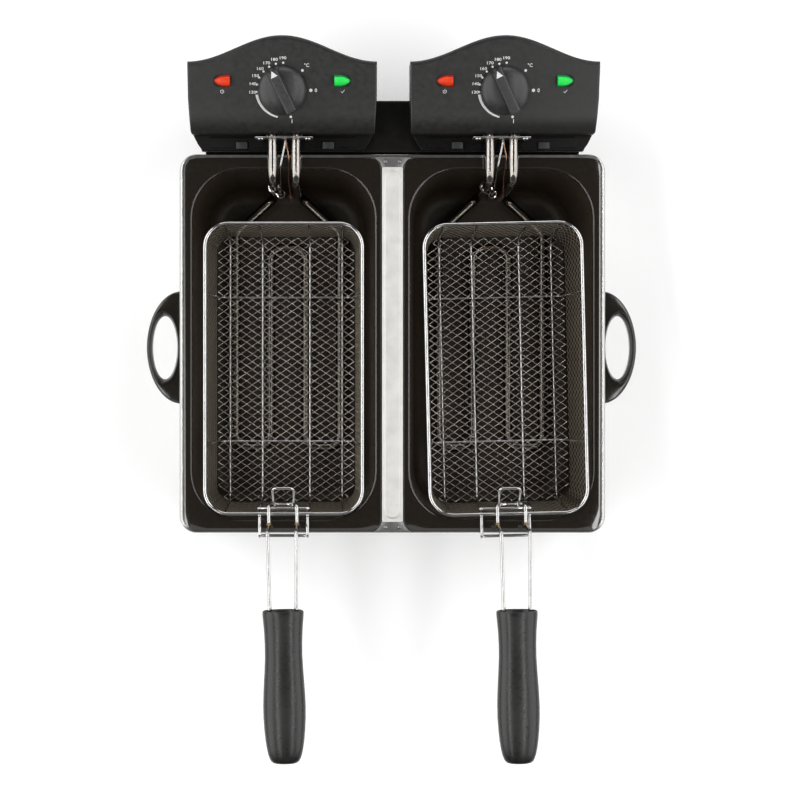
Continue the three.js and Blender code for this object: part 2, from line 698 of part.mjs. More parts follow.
place(fryer, "housing_shell", housingShell(), STEEL);
place(fryer, "base_plate", basePlate(), DARK_STEEL);
place(fryer, "pan_divider", panDivider(), DARK_STEEL);
place(fryer, "bridge_plate", bridgePlate(), STEEL);
RIVETS.forEach(([x, y], i) => place(fryer, `divider_rivet_${i + 1}`, rivet(), STEEL).position.set(x, y, 0));
place(fryer, "rear_housing", rearHousing(), BLACK_PLASTIC);
place(fryer, "side_handle_right", sideHandle(), BLACK_PLASTIC);
place(fryer, "side_handle_left", sideHandle().mirror([1, 0, 0]), BLACK_PLASTIC);

for (const [end, y] of [["front", -FOOT.y], ["rear", FOOT.y]]) {
  for (const [side, x] of [["left", -FOOT.x], ["right", FOOT.x]]) {
    place(fryer, `foot_${end}_${side}`, foot(), RUBBER).position.set(x, y, 0);
  }
}

for (const { side, x, inward, basket: basketAt, hookX, handle: handleAt } of BAYS) {
  const bay = new THREE.Group();
  bay.position.x = x;
  fryer.add(bay);
  place(bay, `pan_${side}`, pan(), ENAMEL);

  place(bay, `control_cover_${side}`, controlCover(inward), BLACK_PLASTIC);
  place(bay, `control_base_${side}`, controlBase(inward), BLACK_PLASTIC);

  // the heating element and what is fixed to it sit a little towards the middle of the fryer
  const element = new THREE.Group();
  element.position.x = ELEMENT.shift * inward;
  bay.add(element);
  place(element, `element_bracket_${side}`, elementBracket(), STEEL);
  place(element, `bracket_screw_outer_${side}`, bracketScrew(-BRACKET.screwX), STEEL);
  place(element, `bracket_screw_inner_${side}`, bracketScrew(BRACKET.screwX), STEEL);
  place(element, `heating_element_${side}`, heatingElement(), STEEL);
  place(element, `sensor_clip_${side}`, sensorClip(), STEEL);
  place(element, `thermostat_bulb_${side}`, capillary(BULBS.thermostat, -1.1, 2.7), COPPER);
  place(element, `cutout_bulb_${side}`, capillary(BULBS.cutout, 1.1, 2.2), STEEL);

  place(bay, `thermostat_${side}`, thermostat(), CREAM_PLASTIC);
  place(bay, `safety_switch_${side}`, safetySwitch(), CREAM_PLASTIC);
  place(bay, `power_lens_${side}`, lensPlace(-1, lensShape(0)), RED_LENS);
  place(bay, `ready_lens_${side}`, lensPlace(1, lensShape(0)), GREEN_LENS);
  place(bay, `cord_gland_${side}`, cordGland(), BLACK_PLASTIC);
  place(bay, `knob_${side}`, knob(), BLACK_PLASTIC);

  // the basket's pieces are drawn about its own middle, the handle's about the middle of its hinge
  const basket = new THREE.Group();
  basket.position.set(basketAt[0], BASKET.y, 0);
  basket.rotation.z = THREE.MathUtils.degToRad(basketAt[1]);
  bay.add(basket);
  place(basket, `basket_mesh_${side}`, basketMesh(), CHROME);
  place(basket, `basket_frame_${side}`, basketFrame(), CHROME);
  place(basket, `basket_hook_${side}`, basketHook(), CHROME).position.set(hookX, -BASKET.y, 0);
  place(basket, `handle_catch_${side}`, handleCatch(), CHROME).position.set(0, -BASKET.y, 0);

  const handle = new THREE.Group();
  handle.position.set(handleAt[0], HINGE.y - BASKET.y, 0);
  handle.rotation.z = THREE.MathUtils.degToRad(handleAt[1]);
  basket.add(handle);
  place(handle, `handle_wire_${side}`, handlePath(), CHROME);
  place(handle, `handle_grip_${side}`, grip(), BLACK_PLASTIC);
}

// the origin is on the table, under the middle of the whole object
fryer.position.y = -new THREE.Box3().setFromObject(fryer).getCenter(new THREE.Vector3()).y;

export default fryer;
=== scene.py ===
"""Visual model of a double deep fryer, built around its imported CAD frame.

All shapes are worked out in millimetres in the frame of part.mjs, where y = 0 is the middle of the
housing and -y is the front. They are moved into the row frame, in metres, as each piece is made.
"""
import math

import bmesh
import bpy
from mathutils import Matrix, Quaternion, Vector, geometry


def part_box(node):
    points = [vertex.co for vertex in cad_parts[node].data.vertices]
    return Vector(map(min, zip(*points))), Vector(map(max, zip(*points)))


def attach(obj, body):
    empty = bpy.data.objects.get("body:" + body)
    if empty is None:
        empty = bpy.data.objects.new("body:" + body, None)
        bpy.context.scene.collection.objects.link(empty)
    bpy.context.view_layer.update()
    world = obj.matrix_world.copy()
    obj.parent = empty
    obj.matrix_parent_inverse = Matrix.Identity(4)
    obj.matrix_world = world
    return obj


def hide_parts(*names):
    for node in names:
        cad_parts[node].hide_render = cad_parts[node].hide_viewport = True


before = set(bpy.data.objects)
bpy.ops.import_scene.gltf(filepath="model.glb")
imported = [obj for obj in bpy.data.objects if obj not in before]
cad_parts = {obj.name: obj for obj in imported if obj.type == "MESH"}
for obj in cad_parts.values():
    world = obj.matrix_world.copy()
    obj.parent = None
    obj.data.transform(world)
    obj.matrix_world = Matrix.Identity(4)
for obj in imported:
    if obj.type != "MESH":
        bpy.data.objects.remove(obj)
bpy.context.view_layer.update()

MM = 0.001
MIDDLE_Y = sum(corner.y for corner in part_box("housing_shell")) / 2 / MM


class Box:
    """A CAD node's box in millimetres, in the working frame."""

    def __init__(self, node):
        low, high = (corner / MM - Vector((0, MIDDLE_Y, 0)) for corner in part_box(node))
        self.x0, self.y0, self.z0 = low
        self.x1, self.y1, self.z1 = high
        self.middle = (low + high) / 2
        self.width, self.length, self.height = high - low


# ---- Shapes ------------------------------------------------------------------------------------
class Shape:
    """Points in millimetres, faces, and the number of each face's material."""

    def __init__(self, points=(), faces=(), paints=None):
        self.points = [Vector(p) for p in points]
        self.faces = [tuple(face) for face in faces]
        self.paints = [0] * len(self.faces) if paints is None else list(paints)

    def __add__(self, other):
        return join([self, other])

    def moved(self, matrix):
        return Shape([matrix @ p for p in self.points], self.faces, self.paints)

    def painted(self, number):
        return Shape(self.points, self.faces, [number] * len(self.faces))


def join(shapes):
    points, faces, paints = [], [], []
    for shape in shapes:
        first = len(points)
        points += shape.points
        faces += [tuple(first + i for i in face) for face in shape.faces]
        paints += shape.paints
    return Shape(points, faces, paints)


def shift(x=0, y=0, z=0):
    return Matrix.Translation((x, y, z))


def turn(degrees, axis="Z"):
    return Matrix.Rotation(math.radians(degrees), 4, axis)


def circle(count):
    """The angles of `count` even steps round a circle."""
    return [math.tau * k / count for k in range(count)]


def quarter(steps):
    """The angles from 0 to 90 degrees in even steps."""
    return [math.pi / 2 * k / steps for k in range(steps + 1)]


def clamped(value):
    return min(1.0, max(0.0, value))


def quarter_drop(reach, radius):
    """How far a rounded edge falls at `reach` from it, for a rounding of `radius`."""
    return radius - math.sqrt(radius ** 2 - (radius - min(radius, reach)) ** 2)


def mirrored(points):
    """Points, then their mirror images in x from the last back to the first."""
    return list(points) + [(-x, *rest) for x, *rest in reversed(points)]


def repainted(shape, chosen):
    """Gives material 1 to each face whose points are chosen."""
    for i, face in enumerate(shape.faces):
        if chosen([shape.points[k] for k in face]):
            shape.paints[i] = 1
    return shape


def flipped(shape):
    """A shape mirrored in x."""
    return shape.moved(Matrix.Scale(-1, 4, (1, 0, 0)))


def loft(rings, around=True, capped=True, looped=False):
    """A skin over rings of points.

    `around` closes each ring, and `looped` joins the last ring to the first."""
    size, count = len(rings[0]), len(rings)
    faces = []
    for i in range(count if looped else count - 1):
        a, b = i * size, (i + 1) % count * size
        for k in range(size if around else size - 1):
            j = (k + 1) % size
            faces.append((a + k, a + j, b + j, b + k))
    if capped and not looped:
        faces.append(tuple(reversed(range(size))))
        faces.append(tuple(range((count - 1) * size, count * size)))
    return Shape([p for ring in rings for p in ring], faces)


def flat_face(loops):
    """One flat face: the first loop is its outline and the others are its holes."""
    loops = [[Vector(p) for p in loop] for loop in loops]
    return Shape([p for loop in loops for p in loop], geometry.tessellate_polygon(loops))


def at_height(outline, z):
    return [Vector((p[0], p[1], z)) for p in outline]


STRAIGHT = math.radians(89.5)  # half the angle of a corner that needs no rounding
HALF_A_LEG = 0.49  # the most of a leg that the rounding of one corner may take


def bent(corners, bend, steps=6, closed=False):
    """A line through corner points, with each corner rounded to the radius `bend`."""
    corners = [Vector(p).to_3d() for p in corners]
    last = len(corners) - 1
    points = []
    for i, corner in enumerate(corners):
        if not closed and i in (0, last):
            points.append(corner)
            continue
        back, ahead = corners[i - 1] - corner, corners[(i + 1) % (last + 1)] - corner
        half = back.angle(ahead) / 2
        if half > STRAIGHT:
            points.append(corner)
            continue
        reach = min(bend / math.tan(half), *(HALF_A_LEG * leg.length for leg in (back, ahead)))
        radius = reach * math.tan(half)
        middle = (back.normalized() + ahead.normalized()).normalized()
        centre = corner + middle * (radius / math.sin(half))
        start = corner + back.normalized() * reach - centre
        axis = back.cross(ahead).normalized()
        for k in range(steps + 1):
            spin = Quaternion(axis, -(math.pi - 2 * half) * k / steps)
            points.append(centre + spin @ start)
    return points


def rounded_ring(width, length, radius, z=0.0, inset=0.0, steps=8):
    """A rounded rectangle about the origin, drawn in by `inset` all round."""
    half_x, half_y = width / 2 - radius, length / 2 - radius
    points = []
    for number, (sx, sy) in enumerate(((1, 1), (-1, 1), (-1, -1), (1, -1))):
        for k in range(steps + 1):
            angle = math.radians(90 * (number + k / steps))
            reach = radius - inset
            x = sx * half_x + reach * math.cos(angle)
            points.append(Vector((x, sy * half_y + reach * math.sin(angle), z)))
    return points


def oval(half_x, half_y, z=0.0, x=0.0, y=0.0, steps=32):
    return [Vector((x + half_x * math.cos(a), y + half_y * math.sin(a), z))
            for a in circle(steps)]


def drawn_in(outline, inset):
    """An anticlockwise outline moved inwards along the mitres of its corners."""
    count = len(outline)
    result = []
    for i in range(count):
        a, b, c = (Vector(outline[(i + k) % count][:2]) for k in (-1, 0, 1))
        u, v = (b - a).normalized(), (c - b).normalized()
        nu, nv = Vector((-u.y, u.x)), Vector((-v.y, v.x))
        move = (nu + nv) / (1 + nu.dot(nv)) * inset
        result.append(Vector((b.x + move.x, b.y + move.y, 0)))
    return result


def slab(outline, levels, holes=()):
    """A plate with straight holes; its outline is drawn in by `inset` at each (z, inset) level."""
    rings = [at_height(drawn_in(outline, inset), z) for z, inset in levels]
    low, high = levels[0][0], levels[-1][0]
    parts = [loft(rings, capped=False)]
    for ring, z in ((rings[0], low), (rings[-1], high)):
        parts.append(flat_face([ring] + [at_height(hole, z) for hole in holes]))
    for hole in holes:
        parts.append(loft([at_height(hole, low), at_height(hole, high)], capped=False))
    return join(parts)


def soft_levels(low, high, radius, steps=3):
    """(z, inset) levels of a block whose top and bottom edges are rounded."""
    curve = [(radius * (1 - math.cos(a)), radius * (1 - math.sin(a))) for a in quarter(steps)]
    lower = [(low + drop, inset) for drop, inset in curve]
    upper = [(high - drop, inset) for drop, inset in reversed(curve)]
    return lower + upper


def block(x0, x1, y0, y1, z0, z1, radius=0.5, corner=None):
    """A box with rounded edges."""
    width, length = x1 - x0, y1 - y0
    ring = rounded_ring(width, length, corner or radius, steps=3)
    made = slab(ring, soft_levels(z0, z1, radius))
    return made.moved(shift((x0 + x1) / 2, (y0 + y1) / 2))


def lathe(profile, sides=24):
    """A piece turned about z from (radius, z) pairs; a radius of 0 closes it on the axis."""
    around = circle(sides)
    open_part = [(r, z) for r, z in profile if r > 0]
    rings = [[(r * math.cos(a), r * math.sin(a), z) for a in around] for r, z in open_part]
    closed = profile[0][0] > 0 and profile[-1][0] > 0
    shape = loft(rings, capped=False, looped=closed)
    for (r, z), first in ((profile[0], 0), (profile[-1], (len(rings) - 1) * sides)):
        if r == 0:
            tip = len(shape.points)
            shape.points.append(Vector((0, 0, z)))
            shape.faces += [(tip, first + (k + 1) % sides, first + k) for k in range(sides)]
            shape.paints += [0] * sides
    return shape


DOME_TILTS = (35, 65)  # degrees of the two rings that round off a bar's end


def tube(path, radius, sides=12, closed=False, domed=True):
    """A round bar along points; the radius is one number, or one for each point."""
    path = [Vector(p) for p in path]
    count = len(path)
    radii = list(radius) if isinstance(radius, (list, tuple)) else [radius] * count
    angles = circle(sides)

    def heading(i):
        if closed:
            return (path[(i + 1) % count] - path[i - 1]).normalized()
        return (path[min(i + 1, count - 1)] - path[max(i - 1, 0)]).normalized()

    def ring(centre, r, side, up):
        return [centre + r * (math.cos(a) * side + math.sin(a) * up) for a in angles]

    ahead = heading(0)
    side = ahead.orthogonal().normalized()
    rings, frames = [], []
    for i, centre in enumerate(path):
        here = heading(i)
        side = ahead.rotation_difference(here) @ side
        ahead = here
        frames.append((side.copy(), here.cross(side), here))
        rings.append(ring(centre, radii[i], *frames[-1][:2]))
    if domed and not closed:
        tilts = [math.radians(degrees) for degrees in DOME_TILTS]
        for end, sign, order in ((0, -1, reversed(tilts)), (-1, 1, tilts)):
            side, up, along = frames[end]
            r = radii[end]
            extra = [ring(path[end] + sign * r * math.sin(a) * along, r * math.cos(a), side, up)
                     for a in order]
            rings = extra + rings if sign < 0 else rings + extra
    return loft(rings, looped=closed)


def linked(name, data):
    """A new object in the scene."""
    made = bpy.data.objects.new(name, data)
    bpy.context.scene.collection.objects.link(made)
    return made


def add_piece(name, shape, materials, body, replaces=(), crease=35):
    """Makes a Blender piece of a shape and gives it its body, materials and replaced CAD nodes."""
    mesh = bpy.data.meshes.new(name)
    offset = Vector((0, MIDDLE_Y, 0))
    mesh.from_pydata([(p + offset) * MM for p in shape.points], [], shape.faces)
    for material in materials if isinstance(materials, (list, tuple)) else [materials]:
        mesh.materials.append(material)
    mesh.polygons.foreach_set("material_index", shape.paints)
    work = bmesh.new()
    work.from_mesh(mesh)
    bmesh.ops.remove_doubles(work, verts=work.verts[:], dist=1e-6)
    bmesh.ops.recalc_face_normals(work, faces=work.faces[:])
    work.to_mesh(mesh)
    work.free()
    mesh.shade_smooth()
    mesh.set_sharp_from_angle(angle=math.radians(crease))
    piece = linked(name, mesh)
    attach(piece, body)
    if replaces:
        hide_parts(*replaces)


# ---- Materials ---------------------------------------------------------------------------------
def linear(colour):
    """sRGB 0 to 255 as linear colour with alpha."""
    parts = [v / 255 for v in colour]
    return [v / 12.92 if v <= 0.04045 else ((v + 0.055) / 1.055) ** 2.4 for v in parts] + [1]


COLOUR_STOPS = (0.32, 0.68)  # the noise values that show the dark and the light colour
ROUGH_STOPS = (0.3, 0.7)  # the noise values that give the least and the most roughness


def finish(name, dark, light, rough, metal=0.0, grain=300, stretch=(1, 1, 1), bump=None,
           **sockets):
    """A material whose colour and roughness wander between two ends on noise.

    `grain` is noise cells per metre; `bump` is (strength, cells per metre, height in mm)."""
    material = bpy.data.materials.new(name)
    material.use_nodes = True
    nodes, links = material.node_tree.nodes, material.node_tree.links
    shader = nodes["Principled BSDF"]
    shader.inputs["Metallic"].default_value = metal
    for socket, value in sockets.items():
        shader.inputs[socket.replace("_", " ")].default_value = value
    place = nodes.new("ShaderNodeTexCoord")
    mapping = nodes.new("ShaderNodeMapping")
    mapping.inputs["Scale"].default_value = stretch
    links.new(place.outputs["Object"], mapping.inputs["Vector"])

    def noise(cells, detail):
        node = nodes.new("ShaderNodeTexNoise")
        node.inputs["Scale"].default_value = cells
        node.inputs["Detail"].default_value = detail
        links.new(mapping.outputs["Vector"], node.inputs["Vector"])
        return node

    spread = noise(grain, 4)
    ramp = nodes.new("ShaderNodeValToRGB")
    for stop, position, colour in zip(ramp.color_ramp.elements, COLOUR_STOPS, (dark, light)):
        stop.position = position
        stop.color = linear(colour)
    links.new(spread.outputs["Fac"], ramp.inputs["Fac"])
    links.new(ramp.outputs["Color"], shader.inputs["Base Color"])
    scale = nodes.new("ShaderNodeMapRange")
    for ends, (least, most) in (("From", ROUGH_STOPS), ("To", rough)):
        scale.inputs[ends + " Min"].default_value = least
        scale.inputs[ends + " Max"].default_value = most
    links.new(spread.outputs["Fac"], scale.inputs["Value"])
    links.new(scale.outputs["Result"], shader.inputs["Roughness"])
    if bump:
        strength, bump_grain, depth = bump
        relief = nodes.new("ShaderNodeBump")
        relief.inputs["Strength"].default_value = strength
        relief.inputs["Distance"].default_value = depth * MM
        links.new(noise(bump_grain, 3).outputs["Fac"], relief.inputs["Height"])
        links.new(relief.outputs["Normal"], shader.inputs["Normal"])
    return material


BRUSHED_Y = (30, 1, 30)  # brushing that runs front to back
BRUSHED_LEVEL = (2, 2, 30)  # brushing that runs level round the housing's sides
MOULDED = (0.25, 1600, 0.06)  # the fine grain of the black mouldings
ENAMELLED = (0.08, 900, 0.03)

STEEL = finish("sheet_steel", (178, 177, 175), (188, 187, 184), (0.18, 0.23), 1, 60, BRUSHED_LEVEL)
PLATE_STEEL = finish("plate_steel", (186, 186, 184), (206, 205, 202), (0.36, 0.46), 1, 90)
DARK_STEEL = finish("dark_steel", (120, 120, 120), (142, 141, 140), (0.3, 0.42), 1, 80, BRUSHED_Y,
                    bump=(0.15, 80, 0.1))
BRIGHT_STEEL = finish("bright_rough_steel", (204, 203, 199), (218, 216, 212), (0.5, 0.6), 0.6, 90,
                      bump=(0.2, 500, 0.05))
CHROME = finish("chrome_wire", (184, 183, 182), (200, 199, 198), (0.08, 0.12), 1, 120)
# A lighter, warmer copy of the weave wire for the basket's walls: painted light; the floor's wires
# take the darker copy below.
WALL_WEAVE_PAINTED_LIGHT = finish("wall_weave_painted_light", (226, 216, 198), (240, 232, 216), (0.3, 0.4), 0.85, 700)
FLOOR_WIRE = finish("floor_wire", (168, 162, 154), (190, 185, 178), (0.16, 0.26), 1, 700)
# A golden colour for small beads on the handle wires: a painted reflection at the wire's bend.
BEAD_PAINTED_REFLECTION = finish("bead_painted_reflection", (150, 116, 52), (176, 140, 72), (0.25, 0.35), 1, 700)
ELEMENT_STEEL = finish("element_steel", (152, 147, 142), (170, 165, 160), (0.1, 0.18), 1, 60)
# A darker steel for the heating tube's lower part.
ELEMENT_STEEL_LOWER = finish("element_darker_lower", (108, 102, 94), (126, 120, 112), (0.12, 0.2), 1, 60)
COPPER = finish("capillary_copper", (168, 128, 104), (192, 152, 128), (0.3, 0.42), 1, 400)
ENAMEL = finish("pan_enamel", (24, 19, 14), (29, 24, 18), (0.1, 0.16), 0, 260, bump=ENAMELLED,
                Coat_Weight=1.0, Coat_Roughness=0.03, Specular_IOR_Level=0.2)
# A lighter, matt copy of the pan enamel for everything below the lip: painted light on the pan's
# inner walls and floor.
ENAMEL_PAINTED_LIGHT = finish("enamel_below_lip_painted_light", (44, 37, 29), (52, 44, 35), (0.4, 0.5), 0, 260, bump=ENAMELLED,
                     Specular_IOR_Level=0.2)
COVER = finish("cover_plastic", (28, 27, 26), (34, 33, 32), (0.32, 0.42), 0, 220, bump=MOULDED)
# Much darker copies of the black cover plastic for the heads' bases and cord glands and for the
# rear housing: painted shade under and between the heads.
BASE_PLASTIC_SHADED = finish("base_plastic_painted_shade", (5, 4, 3), (8, 7, 6), (0.36, 0.46), 0, 220, bump=MOULDED,
                      Specular_IOR_Level=0.12)
REAR_PLASTIC_SHADED = finish("rear_plastic_painted_shade", (6, 5, 3), (9, 8, 6), (0.4, 0.5), 0, 220, bump=MOULDED,
                      Specular_IOR_Level=0.15)
# A lighter plastic for the tops of the lugs: painted light on their upper faces.
LUG_TOP_PAINTED_LIGHT = finish("lug_top_painted_light", (22, 22, 22), (29, 29, 29), (0.4, 0.5), 0, 400,
                     bump=(0.2, 1600, 0.05))
KNOB_PLASTIC = finish("knob_plastic", (42, 42, 43), (50, 50, 51), (0.32, 0.42), 0, 300,
                      bump=(0.15, 1800, 0.04))
GRIP_PLASTIC = finish("grip_plastic", (22, 21, 20), (28, 27, 26), (0.26, 0.32), 0, 260)
HANDLE_PLASTIC = finish("side_handle_plastic", (26, 23, 18), (32, 28, 23), (0.1, 0.16), 0, 260,
                        bump=(0.2, 1500, 0.05))
RUBBER = finish("foot_rubber", (26, 26, 26), (36, 36, 36), (0.75, 0.9), 0, 500,
                bump=(0.3, 900, 0.1))
CREAM = finish("cream_plastic", (206, 200, 182), (220, 214, 198), (0.5, 0.6))
PRINT = finish("dial_print", (206, 206, 204), (224, 224, 222), (0.5, 0.6), 0, 900)
SHADOW_GAP = finish("recess_painted_shade", (4, 4, 4), (9, 9, 9), (0.7, 0.8))


def lit_finish(name, dark, light, glow, strength):
    """Coloured lens plastic that glows faintly."""
    return finish(name, dark, light, (0.4, 0.5), 0, 250, Specular_IOR_Level=0.3,
                  Emission_Color=linear(glow), Emission_Strength=strength)


# The second of each pair is a brighter, more strongly glowing copy: a painted highlight along the
# top of the lens.
RED = lit_finish("red_lens", (136, 16, 4), (166, 28, 8), (255, 50, 10), 0.05)
RED_PAINTED_HIGHLIGHT = lit_finish("red_lens_painted_highlight", (186, 44, 10), (208, 60, 16), (255, 70, 20), 0.12)
GREEN = lit_finish("green_lens", (4, 112, 58), (12, 138, 76), (20, 200, 90), 0.05)
GREEN_PAINTED_HIGHLIGHT = lit_finish("green_lens_painted_highlight", (22, 190, 62), (38, 210, 80), (60, 255, 110), 0.12)

# ---- Housing and the pieces fixed to it --------------------------------------------------------
SHEET = 1.5
GAP = 0.3
PAN = Box("pan_right")
PAN_X = PAN.middle.x
PAN_CORNER = 11
RIM_Z = PAN.z1
OPENING = {"width": 163.3, "length": 314.6, "corner": 43}


def fillet(radius, steps=5):
    """(inwards, upwards) reaches of a quarter round, from the side up to the top."""
    return [(radius * (1 - math.cos(a)), radius * math.sin(a)) for a in quarter(steps)]


def case_screw(radius):
    """A low screw with a driver hole, its head rising along z."""
    socket = (radius - 1.2) / 2
    profile = [(0, 0), (radius - 0.2, 0), (radius, 0.6), (radius - 0.4, 1.1), (socket, 1.2)]
    return lathe(profile + [(socket - 0.1, 0.4), (0, 0.4)], 20)


def housing_shell():
    """A folded box with a hem along its foot and one opening for each pan."""
    box = Box("housing_shell")
    radius, rounding, hem, back_lip, side_inset = 16, 2.6, 7, 1.6, 0.5
    pan_play, back_tightness, corner_steps = 7, 0.4, 10

    def ring(z, inset):
        """The outline, drawn in less at the back, where the bend is tighter."""
        length = box.length + back_lip
        outline = rounded_ring(box.width, length, radius, z, inset, corner_steps)
        for p in outline:
            if p.y > 0:
                p.y *= (length / 2 - back_tightness * inset) / (length / 2 - inset)
            p.y += back_lip / 2
        return outline

    side = [(box.z0, 0.6), (box.z0 + 0.5, 0.1), (box.z0 + hem, 0.1)]
    side.append((box.z0 + hem + 1, side_inset))
    crown = [(box.z1 - rounding + up, side_inset + out) for out, up in fillet(rounding)]
    outer = [ring(z, inset) for z, inset in side + crown]
    outer.append(ring(box.z1, rounding + 1))
    low_top = box.z1 - SHEET
    inner = [ring(z, side_inset + SHEET) for z in (box.z0, low_top)]
    hole = rounded_ring(OPENING["width"] + pan_play, OPENING["length"] + pan_play,
                        OPENING["corner"] + 1.5)
    holes = [[p + Vector((x, 0, 0)) for p in hole] for x in (-PAN_X, PAN_X)]
    walls = [outer, inner, [outer[0], inner[0]]]
    walls += [[at_height(h, low_top), at_height(h, box.z1)] for h in holes]
    parts = [loft(wall, capped=False) for wall in walls]
    for ring_at, z in ((outer[-1], box.z1), (inner[-1], low_top)):
        parts.append(flat_face([ring_at] + [at_height(h, z) for h in holes]))
    return join(parts)


def base_plate():
    """The bottom plate, with a row of air slots under each pan."""
    box = Box("base_plate")
    slot, pitch = rounded_ring(90, 7, 3.4, steps=4), 26
    slots = [[p + Vector((x, pitch * k, 0)) for p in slot]
             for x in (-PAN_X, PAN_X) for k in range(-4, 5)]
    ring = rounded_ring(box.width - 1, box.length - 1, 15.5)
    return slab(ring, soft_levels(box.z0, box.z1, 1.2), slots)


def foot(node):
    """A rubber foot with a hollow sole and a groove round it."""
    box = Box(node)
    r, h = box.width / 2, box.height
    profile = [(0, 0.6), (r - 4, 0.6), (r - 3.4, 0), (r - 1.6, 0), (r - 0.5, 0.9), (r - 0.2, 2.2)]
    profile += [(r - 0.9, 3.2), (r - 0.9, 3.9), (r - 0.2, 4.6), (r - 0.1, h - 0.6), (r - 0.8, h)]
    return lathe(profile + [(0, h)], 32).moved(shift(box.middle.x, box.middle.y, box.z0))


def pan_divider():
    """The strip between the pans; its ends flare to follow the pans' round corners."""
    box = Box("pan_divider")
    clearance = 0.5
    radius = PAN_CORNER + clearance
    edge = PAN_X - PAN.width / 2 - clearance
    centre_x, centre_y = edge + radius, PAN.length / 2 + clearance - radius
    end = box.y1
    last = math.asin((end - centre_y) / radius)
    arc = [last * k / 8 for k in range(9)]
    right = [(centre_x - radius * math.cos(a), centre_y + radius * math.sin(a)) for a in arc]
    flare = right + [(right[-1][0] - 1.2, end + 0.6), (4, end + 0.6)]
    outline = mirrored([(x, -y) for x, y in reversed(flare)] + flare)
    levels = [(box.z0, 0.5), (box.z0 + 0.5, 0), (box.z1 - 0.7, 0), (box.z1 - 0.2, 0.2)]
    return slab(outline, levels + [(box.z1, 0.7)])


def rivet(node):
    """A thin shank under a domed head."""
    box = Box(node)
    r, h, dome = box.width / 2, box.height, 1.2
    profile = [(0, 0), (1, 0), (1, h - dome - GAP), (r, h - dome - GAP)]
    profile += [(r * math.cos(a), h - dome + dome * math.sin(a))
                for a in (0, 0.35, 0.7, 1.05, 1.35)]
    return lathe(profile + [(0, h)], 20).moved(shift(box.middle.x, box.middle.y, box.z0))


def bridge_plate():
    """A plate with rolled edges and one long raised bead with round ends."""
    box = Box("bridge_plate")
    half_x, half_y = 9.4, box.length / 2
    low, sheet = box.z0, 0.9
    bead_x, bead_y, rise, slope = 8.1, half_y - 2.6, 1.0, 1.5

    def height(x, y):
        over = max(0.0, abs(y) - (bead_y - bead_x))
        inside = bead_x - math.hypot(x, over)
        share = clamped(inside / slope)
        bead = rise * share * share * (3 - 2 * share)
        crown = 0.3 * (1 - (x / bead_x) ** 2) if inside > 0 else 0
        edge = clamped((half_x - abs(x)) / 0.7)
        roll = 0.5 * (1 - math.sqrt(1 - (1 - edge) ** 2))
        ripple = 0.05 * math.sin(y / 7.3) * math.sin(y / 23.7 + 1.1) * share
        return low + sheet + bead + crown * share + ripple - roll

    xs = [-half_x, -9.32, -9.15, -8.9, -8.6, -8.2, -7.8, -7.4, -7.0, -6.5, -5.5, -4, -2.5, -1]
    xs = xs + [-x for x in reversed(xs)]
    ends = [half_y - 0.45 * k for k in range(30)]
    end_part, corner = 14.5, 1.2
    ys = [-half_y + end_part + 2 * (half_y - end_part) * k / 110 for k in range(111)]
    ys = sorted(set([-y for y in ends] + ys + ends))
    rows = []
    for y in ys:
        past = max(0.0, abs(y) - half_y + corner)
        inset = corner - math.sqrt(max(0.0, corner ** 2 - past ** 2))
        share = (half_x - inset) / half_x
        top = [Vector((x * share, y, height(x, y))) for x in xs]
        rows.append(top + [Vector((half_x * share, y, low)), Vector((-half_x * share, y, low))])
    return loft(rows)


def rear_housing():
    """The case that carries the heads: a seam round it, two rails for each head, six screws."""
    box = Box("rear_housing")
    rail_depth, rail_apart, rail_half = 3.5, 42, 3
    back, front = box.y1 - rail_depth, box.y0 + 1.7
    half, corner = box.width / 2, 10
    top = box.z1 - 1.8
    corners = [(half, front), (half, back), (-half, back), (-half, front)]
    outline = bent(corners, corner, 8)
    levels = soft_levels(box.z0, top, 2.2, 4)
    seam = box.z0 + 36
    levels = levels[:5] + [(seam - 0.6, 0), (seam, 0.7), (seam + 0.6, 0)] + levels[5:]
    parts = [slab(outline, levels)]
    for x in (-PAN_X, PAN_X):
        for rail_x in (x - rail_apart, x + rail_apart):
            parts.append(block(rail_x - rail_half, rail_x + rail_half, back - 1, box.y1, 30,
                               box.z1 - 2, 0.8))
    for x in (-150, 0, 150):
        for z in (22, 132):
            parts.append(case_screw(3.6).moved(shift(x, back, z) @ turn(-90, "X")).painted(1))
    return join(parts)


